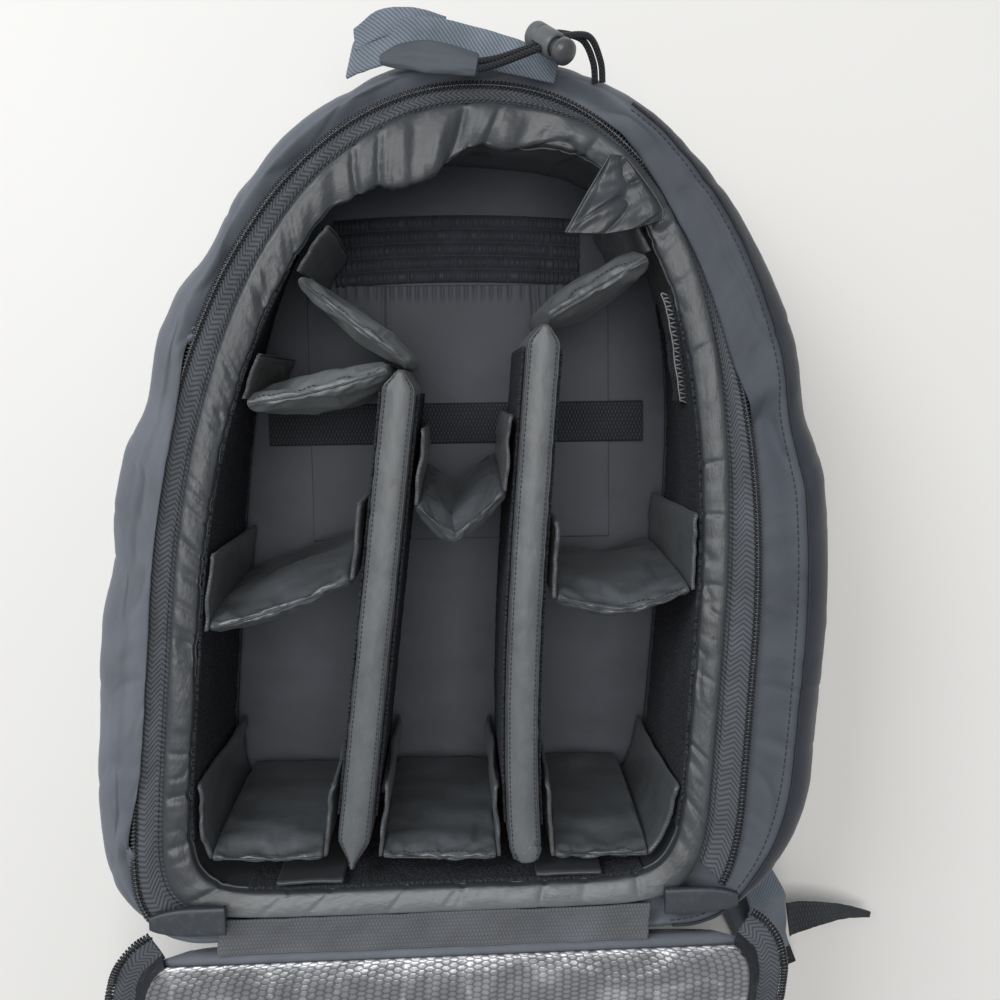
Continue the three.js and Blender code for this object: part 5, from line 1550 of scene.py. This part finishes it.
    def long(self) -> None:
        """The two long dividers with bands on both faces and a tab along the foot wall."""
        profile = self.profile("wall", 52)
        crest = int(np.argmax(profile[:, 1]))
        foot_y = max(BASE.foot, INSIDE.foot) + BAND + 2 * GAP + FLAP / 2 + 0.9
        for seed, (side, _, _, head_y, _) in enumerate(self.long_lines):
            turn = -1 if side == "left" else 1
            ys = np.linspace(head_y, foot_y + 4, 150)
            xs = self.long_x(side, ys)
            ys = ys + np.where(ys < foot_y + 14, skew(xs, ys), 0) * ease((foot_y + 22 - ys) / 10)
            near_head, near_foot = ease((head_y - ys) / 11), ease((ys - foot_y - 1) / 16)
            width = LONG_THICK * (0.24 + 0.76 * near_head) * (0.14 + 0.86 * near_foot)
            points = self.pad(np.stack([xs, ys], axis=1), width, LONG_TOP, 0.0, profile)
            shoulders = [crest - 6, crest + 6]
            # The long dividers' satin is a lighter copy of the walls' satin: painted light.
            self.dress(f"long_divider_{side}_pad", points, SATIN_PAINTED_LIGHTER, shoulders, 0.0, 0.8, 90 + seed, 0.28)
            for out, band in ((turn, "out"), (-turn, "in")):
                y = np.linspace(head_y - 12, -174, 110)
                z = np.linspace(BAND_FROM, DIVIDER_TOP - BAND_BELOW_RIM, 52)[None]
                rough = Noise(100 + seed)(y[:, None] / 1.8, z / 1.6) * 0.35
                x = self.long_x(side, y)[:, None] + out * (LONG_THICK / 2 + GAP + BAND + 0.3 + rough)
                sheet = grid(np.stack([x, y[:, None] + 0 * x, z + 0 * x], axis=-1), facing=(out, 0, 0))
                node = f"loop_band_{side}_divider_{band}"
                make(f"loop_{side}_divider_{band}", sheet, PILE, [node], thickness=BAND)
            tab_x = self.long_x(side, foot_y) + turn * np.linspace(0.1, 1, 30) * FLAP_LENGTH
            tab_y = foot_y + skew(tab_x, np.full(30, foot_y))
            z = np.linspace(DIVIDER_FROM + 3, LONG_TOP, 30)[None]
            wave = 0.5 * Noise(104 + seed).layered(np.linspace(0, 3, 30)[:, None], z / 18)
            sheet = grid(np.stack([tab_x[:, None] + 0 * z, tab_y[:, None] + wave, z + 0 * wave], axis=-1),
                         facing=(0, 1, 0))
            make(f"long_divider_{side}_tab", sheet, SATIN, thickness=FLAP_SHEET)

    def build(self) -> None:
        """All the dividers; their air and piping come when everything is in place."""
        self.made: list[tuple] = []
        self.long()
        self.cross()
        self.slants()


@dataclass
class BackPocket:
    """The back pocket with its gathered elastic top, the strap across it, the head flap and the hook strip."""

    half_width: float = 92.0
    top: float = 116.0
    foot: float = -40.0
    x: float = -6.0
    gather_half: float = 74.0
    gather_rows: int = 5
    gather_pitch: float = 8.0
    gather_rise: float = 2.6

    @staticmethod
    def turned(points: Array) -> Array:
        """Points turned about Z with the back panel, which is sewn askew."""
        c, s = math.cos(BACK_TURN), math.sin(BACK_TURN)
        x, y, z = points[..., 0], points[..., 1], points[..., 2]
        return np.stack([c * x - s * y, s * x + c * y, z], axis=-1)

    def pocket(self) -> None:
        """Pocket cloth: flat, pleated below the gathers, with a seam down each side of its middle."""
        x = np.linspace(self.x - self.half_width, self.x + self.half_width, 260)[:, None]
        y = np.linspace(self.foot, self.top, 160)[None]
        pleats = Noise(121)
        below = ease((y - self.top + 13) / 10)
        slits = (1 - np.abs(np.sin(np.pi * (x / 5.2 + 0.5 * pleats(x / 19, 2.0))))) ** 2
        z = POCKET_FROM + POCKET_SHEET - 1.7 * below * slits + 0.3 * pleats(x / 30, y / 40)
        for seam in (-46.0, 46.0):
            z = z - 0.7 * hill(x, seam + self.x, 2.2) + 0.5 * hill(x, seam + self.x + 3, 2.0)
        points = self.turned(np.stack(np.broadcast_arrays(x, y, z), axis=-1))
        sheet = make("pocket_cloth", grid(points, facing=(0, 0, 1)), FLOOR_CLOTH, ["pocket_sheet"],
                     thickness=POCKET_SHEET * 0.8)
        (self.top - self.foot) * MM

    def gathers(self) -> None:
        """Elastic band: round ribs across it, each crimped by its gathers."""
        start = self.top + GAP
        x = np.linspace(self.x - self.gather_half, self.x + self.gather_half, 320)[:, None]
        y = np.linspace(start, start + self.gather_rows * self.gather_pitch, 120)[None]
        crimp = Noise(122)
        rib = np.abs(np.sin(np.pi * (y - start) / self.gather_pitch)) ** 0.7
        beat = x / 2.9 + 1.1 * crimp(x / 11.0, np.floor((y - start) / self.gather_pitch) * 3.7)
        wrinkle = -1.5 * (1 - np.abs(np.sin(np.pi * beat))) ** 1.6 + 0.35 * crimp(x / 2.0, y / 7.0 + 4)
        z = POCKET_FROM + POCKET_SHEET * 0.6 + self.gather_rise * rib + wrinkle * rib
        bowed = y + 3.0 * (1 - ((x - self.x) / self.gather_half) ** 2) - 1.5
        points = self.turned(np.stack(np.broadcast_arrays(x, bowed, z), axis=-1))
        make("elastic_gathers", grid(points, facing=(0, 0, 1)), GATHER_CLOTH, ["gathered_band"],
             thickness=1.2)

    def strap(self) -> None:
        """Woven strap across the pocket."""
        path = np.stack([np.linspace(-123, 107, 160), np.full(160, 32.0), np.full(160, STRAP_FROM + 1.0)], axis=1)
        points = sweep(path, (0, 1, 0), flat_profile(25.0, 2.0, 16))
        make("back_strap", grid(self.turned(points), ring_columns=True, capped=True), BLACK_WEB,
             ["cross_strap"])

    def hooks(self) -> None:
        """Hook strip that hangs beside the right wall, zigzag-stitched along both edges."""
        y = np.linspace(108, 54, 70)
        share = np.linspace(0, 1, 70)
        wave = Noise(123)
        x = Dividers.wall_x(1, y) - BAND + GAP * 0.5
        down = np.linspace(0, 1, 24)[None]
        z = (141 - 12 * share)[:, None] - 20 * down + 0.8 * wave(share * 5, 1.0)[:, None]
        xs = x[:, None] - 3 * down - 0.6 * wave.layered(share[:, None] * 6, down * 2)
        points = np.stack([xs, y[:, None] + 0 * xs, z], axis=-1)
        make("hook_strip_pile", grid(points, facing=(-1, 0, 0)), PILE, ["hook_strip"], thickness=1.8)
        path = lerp(points[:, 0], points[:, 4], 0.5) + [-1.0, 0, 0.9]
        ladder = rungs(path, (1, 0, -0.5), 5.0, 2.1, 0.42)
        rails = [rod(path + [s, 0, -0.5 * s], 0.38, 5) for s in (-2.3, 2.3)]
        make("hook_strip_ladder", joined([ladder, *rails]), PALE_THREAD)

    def flap(self) -> None:
        """Padded flap at the head, folded up over the wall's rim."""
        left = np.array([[55, 172], [49.5, 161], [44, 150], [36, 133]], float)
        right = np.array([[63, 172], [74, 160.5], [83, 149], [84, 143]], float)
        t = np.linspace(0, 3, 64)
        sides = through(left, t), through(right, t)
        share = np.linspace(0, 1, 60)[None, :, None]
        flat = lerp(sides[0][:, None], sides[1][:, None], share)
        flat[..., 1] -= 3.5 * np.sin(np.pi * share[..., 0]) * (t[:, None] / 3) ** 2
        wave = Noise(124)
        u, v = flat[..., 0] * 0.8 + flat[..., 1] * 0.6, flat[..., 1] * 0.8 - flat[..., 0] * 0.6
        free = ease(np.minimum(share[..., 0], 1 - share[..., 0]) * 8)
        lift = 3.2 * free + 1.6 * wave.layered(u / 26, v / 12) * free
        lift = lift - 2.2 * wave.creases(u / 40 + 3, v / 9) ** 2 * free
        top = np.concatenate([flat, RIM_HEAD + 3.0 + np.clip(lift, 0.3, 6)[..., None]], axis=-1)
        under = np.concatenate([flat[:, ::-1], np.full((*flat.shape[:2], 1), RIM_HEAD + 2.3)], axis=-1)
        points = np.concatenate([top, under[:, 1:-1]], axis=1)
        piece = make("head_flap_pad", grid(points, ring_columns=True, capped=True), SATIN, ["head_flap"])
        hems = [rod(top[:, i] + [0, 0, 0.3], 0.6, 7) for i in (0, -1)]
        make("head_flap_piping", joined(hems), SATIN)

    def build(self) -> None:
        """Everything on the back panel and at the head."""
        self.pocket()
        self.gathers()
        self.strap()
        self.hooks()
        self.flap()


@dataclass
class Lid:
    """The lid: it leaves the foot rim, sags to the ground and lies there with its lining up."""

    zipper: Zipper
    x: float = 5.0
    half_width: float = 164.0
    length: float = 424.0
    widest_at: float = 150.0
    far_power: float = 2.2
    near_power: float = 12.0
    pad: float = 11.7
    lining: float = 1.4
    tape: float = 14.0
    hinge_width: float = 20.0
    pad_end: float = 421.0
    fall: float = 408.0
    leaves: float = 105.0
    lands: float = 175.0

    def __post_init__(self) -> None:
        """Work out the line that the lid falls along: a Bezier curve from the hinge to the ground."""
        self.hinge_y = INSIDE_BACK.foot - GAP
        self.start_y = self.hinge_y - self.hinge_width
        end_y = self.start_y - self.fall
        corners = np.array([[self.start_y - GAP, 160], [self.start_y - self.leaves, 160],
                            [end_y + self.lands, self.pad + GAP], [end_y, self.pad + GAP]])
        t = np.linspace(0, 1, 2001)[:, None]
        line = ((1 - t) ** 3 * corners[0] + 3 * (1 - t) ** 2 * t * corners[1] + 3 * (1 - t) * t**2 * corners[2]
                + t**3 * corners[3])
        self.line = line
        self.along = np.concatenate([[0], np.cumsum(np.linalg.norm(np.diff(line, axis=0), axis=1))])
        self.way = unit(np.gradient(line, axis=0))

    def on(self, x: Array, s: Array, h: Array) -> Array:
        """A point of the lid: x across it, s along it from the hinge, h above its pad."""
        x, s, h = np.broadcast_arrays(x, s, h)
        inside = np.clip(s, 0, self.along[-1])
        p = [np.interp(inside, self.along, self.line[:, i]) for i in (0, 1)]
        t = [np.interp(inside, self.along, self.way[:, i]) for i in (0, 1)]
        past = s - inside
        across = x + self.x
        y = p[0] + t[0] * past + t[1] * h
        return np.stack([across, y + FOOT_SKEW * across, p[1] + t[1] * past - t[0] * h], axis=-1)

    def half(self, s: Array) -> Array:
        """The lid's half width at a station: half (1 - (|s - widest| / reach)^p)^(1/p)."""
        far = s > self.widest_at
        reach = np.where(far, self.length - self.widest_at, self.widest_at + 2)
        power = np.where(far, self.far_power, self.near_power)
        return self.half_width * np.maximum(1 - (np.abs(s - self.widest_at) / reach) ** power, 1e-6) ** (1 / power)

    @staticmethod
    def stations(count: int, end: float) -> Array:
        """Stations along the lid, closer together at its far end."""
        t = np.linspace(0, 1, count)
        return end * (1 - (1 - t) ** 1.6) * 0.55 + end * t * 0.45

    def sheets(self) -> None:
        """The padded nylon side underneath and the coated lining on top, both wrinkled."""
        s = self.stations(150, self.pad_end)[:, None]
        turn = np.linspace(0, 2 * np.pi, 120, endpoint=False)[None]
        c, si = np.cos(turn), np.sin(turn)
        across = np.sign(c) * (1 - (1 - np.abs(c)) ** 1.4)
        swell = np.sign(si) * (1 - np.abs(across) ** 9) ** 0.6
        soft = Noise(131)
        wave = 1.2 * soft.layered(across * 5, s / 60)
        bulge = np.where(si > 0, -0.2, 1) * np.clip(wave, 0, 2) * (np.abs(across) < 0.97)
        h = -self.pad / 2 + swell * (self.pad / 2) + bulge
        points = self.on(across * self.half(s), s, np.minimum(h, -0.05))
        points[..., 2] = np.maximum(points[..., 2], 0.15)
        pad = make("lid_cushion", grid(points, ring_columns=True, capped=True), NYLON, ["lid_pad"])
        s = self.stations(230, 415.0)[:, None] + 4
        share = np.linspace(-1, 1, 190)[None]
        wide = self.half(s) - 4
        x = share * wide
        crease = (2.1 * soft.creases(x / 46 + 9, s / 30) + 1.5 * soft.layered(x / 38, s / 34)
                  + 0.5 * soft.layered(x / 9, s / 8))
        hold = ease((1 - np.abs(share)) * 7) * ease((s - 4) / 12)
        h = GAP + self.lining + 0.3 + hold * (1.6 + crease) * 0.8
        frayed = ease((5.6 - s + 2.6 * soft.layered(x / 4, 3.0)) / 1.5) * 0.8
        tone = np.clip(frayed + 0.8 * soft.creases(x / 17, s / 15) ** 2, 0, 1)
        points = self.on(x, s, h)
        sheet = make("lid_foil", grid(points, facing=(0, 0, 1), tone=np.broadcast_to(tone, x.shape)), FOIL,
                     ["lid_lining"], thickness=1.1)

    def edge_line(self, by: Array | float, count: int = 700) -> tuple[Array, Array]:
        """The lid's edge from one end of the hinge round to the other, moved outwards in its plane."""
        s = 3 + self.stations(500, self.pad_end - 3)
        outline = np.concatenate([np.stack([-self.half(s), s], 1), np.stack([self.half(s), s], 1)[::-1]])
        outline = spaced(outline, count)
        for _ in range(6):
            outline[1:-1] = (outline[:-2] + 2 * outline[1:-1] + outline[2:]) / 4
        way = unit(np.gradient(outline, axis=0))
        return outline, np.stack([-way[:, 1], way[:, 0]], axis=1) * by

    def zip(self) -> None:
        """Zipper tape round the lid's edge, and its coil."""
        outline, out = self.edge_line(1.0)
        level = -self.pad * 0.5
        share = np.linspace(0, 1, 12)[None]
        wave = Noise(132)
        place = np.linspace(0, 90, len(outline))[:, None]
        reach = 0.6 + share * (self.tape - 0.4)
        droop = 1.1 * wave.layered(place, share) * share
        line = outline[:, None] + out[:, None] * reach[..., None]
        points = self.on(line[..., 0], line[..., 1], level + 1.0 + droop)
        points[..., 2] = np.maximum(points[..., 2], 1.4)
        tape = grid(points, facing=(0, 0, 1))
        make("lid_tape_cloth", tape, ZIP_TAPE, ["lid_zip_tape"], thickness=1.0)
        rim = outline + out * (self.tape + 2.2)
        path = self.on(rim[:, 0], rim[:, 1], level + 1.2 + droop[:, -1])
        path[:, 2] = np.maximum(path[:, 2], 2.2)
        ups = unit(np.cross(np.gradient(points[:, -1], axis=0), points[:, -1] - points[:, -2]))
        ups *= np.sign(ups[:, 2:])
        self.zipper.run("lid_coil_teeth", path, ups, ["lid_zip_coil"])
        gusset = outline[:, None] + out[:, None] * (-3.4 + share * 6.4)[..., None]
        crumple = 1.3 * wave.layered(place * 1.7, share * 2)
        points = self.on(gusset[..., 0], gusset[..., 1], level + (1 - share) * 7.0 + 0.9 + crumple * 0.6)
        points[..., 2] = np.maximum(points[..., 2], 1.6)
        make("lid_edge_binding", grid(points, facing=(0, 0, 1)), BLACK_CLOTH, thickness=0.8)

    def hinge(self) -> None:
        """Woven hinge tape between the rim and the lid."""
        x = np.linspace(-117, 107, 240)[:, None]
        rim = RIM_FOOT - 2
        edge = np.array([[self.hinge_y - GAP, rim], [self.hinge_y - 10, rim - 1.2], [self.start_y + GAP, 160.0]])
        line = through(edge, np.linspace(0, 2, 30))
        wave = 0.8 * Noise(133).layered(x / 24, line[None, :, 0] / 20)
        y = line[None, :, 0] + FOOT_SKEW * x
        points = np.stack(np.broadcast_arrays(x, y, line[None, :, 1] + 0.3 + wave), axis=-1)
        make("hinge_grosgrain", grid(points, facing=(0, 0, 1)), GROSGRAIN, ["hinge_tape"], thickness=1.4)

    def tabs(self) -> None:
        """Folded tabs over the zipper's two ends."""
        for name, side, start, y0, wide, z in (("left", -1, 112, -227, 15, RIM_FOOT + 3),
                                               ("right", 1, 113, -203, 14, RIM_FOOT + 0.6)):
            share = np.linspace(0, 1, 50)
            x = side * (start + 38 * share)
            half = wide / 2 * np.sqrt(1 - (np.maximum(0, share - 0.4) / 0.66) ** 2)
            path = np.stack([x, y0 + FOOT_SKEW * (x - side * 131), np.full(50, z + 1.9)], axis=1)
            profile = flat_profile(2 * half, 3.4, 14)
            lap = 0.7 * ease((profile[..., 0] / half[:, None] + 0.1) * 6)
            profile = np.stack([profile[..., 0], profile[..., 1] + np.where(profile[..., 1] > 0, lap, 0)], axis=-1)
            points = sweep(path, (0, 1, 0), profile * [1.0, side])
            make(f"zip_tab_{name}", grid(points, ring_columns=True, capped=True), SLATE_PLASTIC,
                 [f"zip_end_tab_{name}"])

    def build(self) -> None:
        """The whole lid."""
        self.sheets()
        self.zip()
        self.hinge()
        self.tabs()


@dataclass
class Harness:
    """Back pad, shoulder straps, buckles and webbing."""

    thick: float = 14.7
    width: float = 58.0
    pad_width: float = 112.0
    pad_length: float = 300.0

    def back_pad(self) -> None:
        """Back pad: a rounded block with two channels sewn across it, flat where it rests on the ground."""
        turn = np.linspace(0, 2 * np.pi, 200, endpoint=False)[:, None]
        c, s = np.cos(turn), np.sin(turn)
        x = np.sign(c) * np.abs(c) ** 0.28 * self.pad_width / 2
        y = np.sign(s) * np.abs(s) ** 0.2 * self.pad_length / 2
        share = np.array([0.03, 0.25, 0.5, 0.7, 0.85, 0.94, 0.985, 1, 1, 0.985, 0.94, 0.85, 0.6, 0.3, 0.03])
        z = np.array([0, 0, 0, 0, 0.05, 0.3, 1.3, 4, 10, 12.9, 14.2, 14.7, 14.7, 14.7, 14.7])
        points = np.stack(np.broadcast_arrays(x * share, y * share, z), axis=-1)
        sewn = sum(hill(points[..., 1], mid, 7) for mid in (-62.0, 0.0, 62.0))
        points[..., 2] += np.where(z < 0.2, sewn * 2.2 * ease((1 - share) * 8), 0)
        pad = make("back_cushion", grid(points, ring_rows=True, facing=(0, 0, 1)), BLACK_CLOTH, ["back_pad"])

    def strap(self, side: str, route: Sequence[tuple[float, float]]) -> None:
        """Padded shoulder strap on the ground; its bound edges and middle webbing are not drawn."""
        route_points = np.array([(x, y, 0.0) for x, y in route])
        line = spaced(through(route_points, np.linspace(0, len(route) - 1, 400)), 150)
        share = np.linspace(0, 1, 150)
        half = self.width / 2 * lerp(1, 0.55, np.clip((share - 0.7) / 0.3, 0, 1))
        turn = np.linspace(0, 2 * np.pi, 56, endpoint=False)
        c, s = np.cos(turn), np.sin(turn)
        across = np.sign(c) * np.abs(c) ** 0.55
        up = np.sign(s) * (1 - np.abs(across) ** 5) ** 0.55 * self.thick / 2
        profile = np.stack([half[:, None] * across, np.broadcast_to(-up, (150, 56))], axis=-1)
        points = sweep(line + [0, 0, self.thick / 2], (0, 0, 1), profile[..., ::-1] * [-1, 1])
        points[..., 2] = np.clip(points[..., 2], 0.1, self.thick)
        strap = make(f"strap_{side}_pad", grid(points, ring_columns=True, capped=True), NYLON,
                     [f"shoulder_strap_{side}"])

    def ribbon(self, name: str, rows: Sequence[tuple[float, ...]], thick: float, finish: Finish,
               nodes: Sequence[str], ripple: float = 0.0, tone: float = 0.0) -> Array:
        """A length of woven tape through rows of x, y, z, across x, across y, across z and width."""
        data = through(np.array(rows, float), np.linspace(0, len(rows) - 1, 40 * len(rows)))
        data = spaced(data, 26 * len(rows))
        wave = ripple * Noise(140).layered(np.linspace(0, 6, len(data)), 0.0)
        centres = data[:, :3] + np.stack([0 * wave, 0 * wave, wave], axis=1)
        points = sweep(centres, data[:, 3:6], flat_profile(data[:, 6], thick, 14))
        worn = np.full(points.shape[:2], tone)
        make(name, grid(points, ring_columns=True, capped=True, tone=worn), finish, nodes)
        return points

    def buckle(self, side: str, frame: dict) -> None:
        """Ladder buckle: the solid's own shape with its edges rounded."""
        node = frame["nodes"][f"ladder_buckle_{side}"]
        mesh = node.data.copy()
        obj = bpy.data.objects.new(f"buckle_{side}", mesh)
        bpy.context.scene.collection.objects.link(obj)
        mesh.materials.clear()
        mesh.materials.append(BLACK_PLASTIC.material())
        weld = obj.modifiers.new("weld", "WELD")
        weld.merge_threshold = 1e-5
        bevel(obj, 0.8, 3)
        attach(obj, BAG)
        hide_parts(f"ladder_buckle_{side}")

    def wing(self, side: str, start: float, end: float, z: float, tip: tuple[float, float], shell: Shell) -> None:
        """Three-cornered cloth wing from the shell's foot corner to its tip."""
        b = np.radians(np.linspace(start, end, 24))
        rows = shell.controls(b)
        r = np.array([np.interp(z + 1.5, row[:4, 1], row[:4, 0]) for row in rows]) + 1.2
        edge = at(b, r, z + 1.5)
        corner = np.array([*tip, z + 1.5])
        share = np.linspace(0, 0.985, 26)[None, :, None]
        points = lerp(edge[:, None], corner, share)
        wave = Noise(145).layered(points[..., 0] / 14, points[..., 1] / 14)
        points[..., 2] += 1.4 * wave * (1 - share[..., 0])
        make(f"wing_{side}", grid(points, facing=(0, 0, 1)), BLACK_CLOTH, [f"corner_wing_{side}"],
             thickness=2.2)

    def build(self, frame: dict, shell: Shell) -> None:
        """The harness underneath and the webbing at both foot corners."""
        beside = self.pad_width / 2 + self.width / 2 + 3
        self.back_pad()
        self.strap("left", [(-beside + 2, 172), (-beside - 6, 80), (-beside - 14, -40), (-beside - 10, -140),
                            (-beside, -200)])
        self.strap("right", [(beside - 2, 172), (beside + 6, 80), (beside + 14, -40), (beside + 50, -150),
                             (beside + 98, -238), (beside + 126, -296)])
        for side in ("left", "right"):
            self.buckle(side, frame)
        self.wing("right", -47, -36, 58, (203, -243), shell)
        self.wing("left", 218, 229, 24, (-164, -238), shell)
        over = 1.3
        self.ribbon("strap_webbing_right", [
            (186, -222, 61 + over, 0.9, 0.44, 0, 18), (201, -249, 61 + over, 0.9, 0.44, 0, 24),
            (207, -264, 46, 0.92, 0.39, 0, 25), (216, -285, 27, 0.92, 0.39, 0, 25),
            (220, -298, 17.6, 0.9, 0.43, 0, 25), (225, -309, 12 + over, 0.9, 0.43, 0, 25),
        ], 2.0, GREY_WEB, ["webbing_right"])
        self.ribbon("strap_webbing_tail", [
            (228.2, -279, 28, 0.1, 1, 0, 24), (248, -275, 27, 0, 1, 0, 17), (270, -275, 22, 0, 1, 0, 9),
            (287, -278, 17, 0, 1, 0, 4),
        ], 2.0, BLACK_WEB, ["webbing_tail"], 0.8, 0.5)
        self.ribbon("strap_webbing_left", [
            (-152, -243, 23.4 - over, 0.5, 0.86, 0, 18), (-128, -254, 14, 0.3, 0.95, 0, 20),
            (-106, -254, 9, 0, 1, 0, 20),
        ], 2.0, GREY_WEB, ["webbing_left"])
        ridge = RIM_HEAD + over
        self.ribbon("handle_webbing", [
            (-76, 211, 138, 0.3, 0.95, 0, 21), (-70, 213, 146, 0.25, 0.97, 0, 21),
            (-60, 216, ridge + 1, 0.15, 1, 0, 21),
            (-44, 219, ridge + 5, 0.05, 1, 0.1, 20), (-26, 219, ridge + 4, 0, 1, 0.1, 19),
            (4, 215, ridge + 2.5, -0.1, 1, 0, 17), (26, 211, ridge - 1.2, -0.15, 1, 0, 13),
        ], 2.0, GREY_WEB, ["haul_handle"], 0.9)
        self.ribbon("handle_fold", [
            (-74, 220, 141, 0.1, 1, 0, 12), (-62, 225, ridge + 1, 0, 1, 0.1, 13),
            (-46, 227, ridge + 4.5, -0.15, 1, 0.2, 12), (-30, 226, ridge + 3, -0.2, 1, 0.2, 9),
        ], 1.8, GREY_WEB, [], 0.5)
        self.sleeve()

    @staticmethod
    def sleeve() -> None:
        """Soft fold of shell cloth at the head that the two cords come out of: a flat cone with wrinkles along it."""
        share = np.linspace(0, 1, 60)
        path = through(np.array([[-60, 207, 157.6], [-46, 209.5, 159.4], [-28, 209, 160.6], [-13.2, 207.6, 160.8]]),
                       3 * share)
        half = np.interp(share, [0, 0.2, 0.5, 0.85, 1], [2.0, 5.5, 8.0, 6.2, 5.4])
        turn = np.linspace(0, 2 * np.pi, 48, endpoint=False)
        crinkle = Noise(146)
        puff = 1 + 0.10 * crinkle.layered(share[:, None] * 2.2, 2.2 * np.cos(turn)[None] + 5, 2 * np.sin(turn)[None])
        across, up = half[:, None] * np.cos(turn) * puff, 2.6 * np.sin(turn) * puff * (0.5 + half[:, None] / 16)
        points = sweep(path, (0, 1, 0), np.stack([across, up], axis=-1))
        make("cord_sleeve", grid(points, ring_columns=True, capped=True, tone=np.full(points.shape[:2], 0.6)), NYLON,
             ["cord_fold"])


def main() -> None:
    """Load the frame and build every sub-assembly round it."""
    logging.basicConfig(level=logging.INFO, format="%(message)s")
    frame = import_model()
    Studio().build()
    DrawCord().build()
    air = Inflation()
    shell = Shell()
    shell.build()
    Lining().build()
    zipper = Zipper(shell)
    zipper.build()
    dividers = Dividers(air)
    dividers.build()
    air.run()
    dividers.trims()
    BackPocket().build()
    Lid(zipper).build()
    Harness().build(frame, shell)
    bpy.context.view_layer.update()


if __name__ == "__main__":
    main()
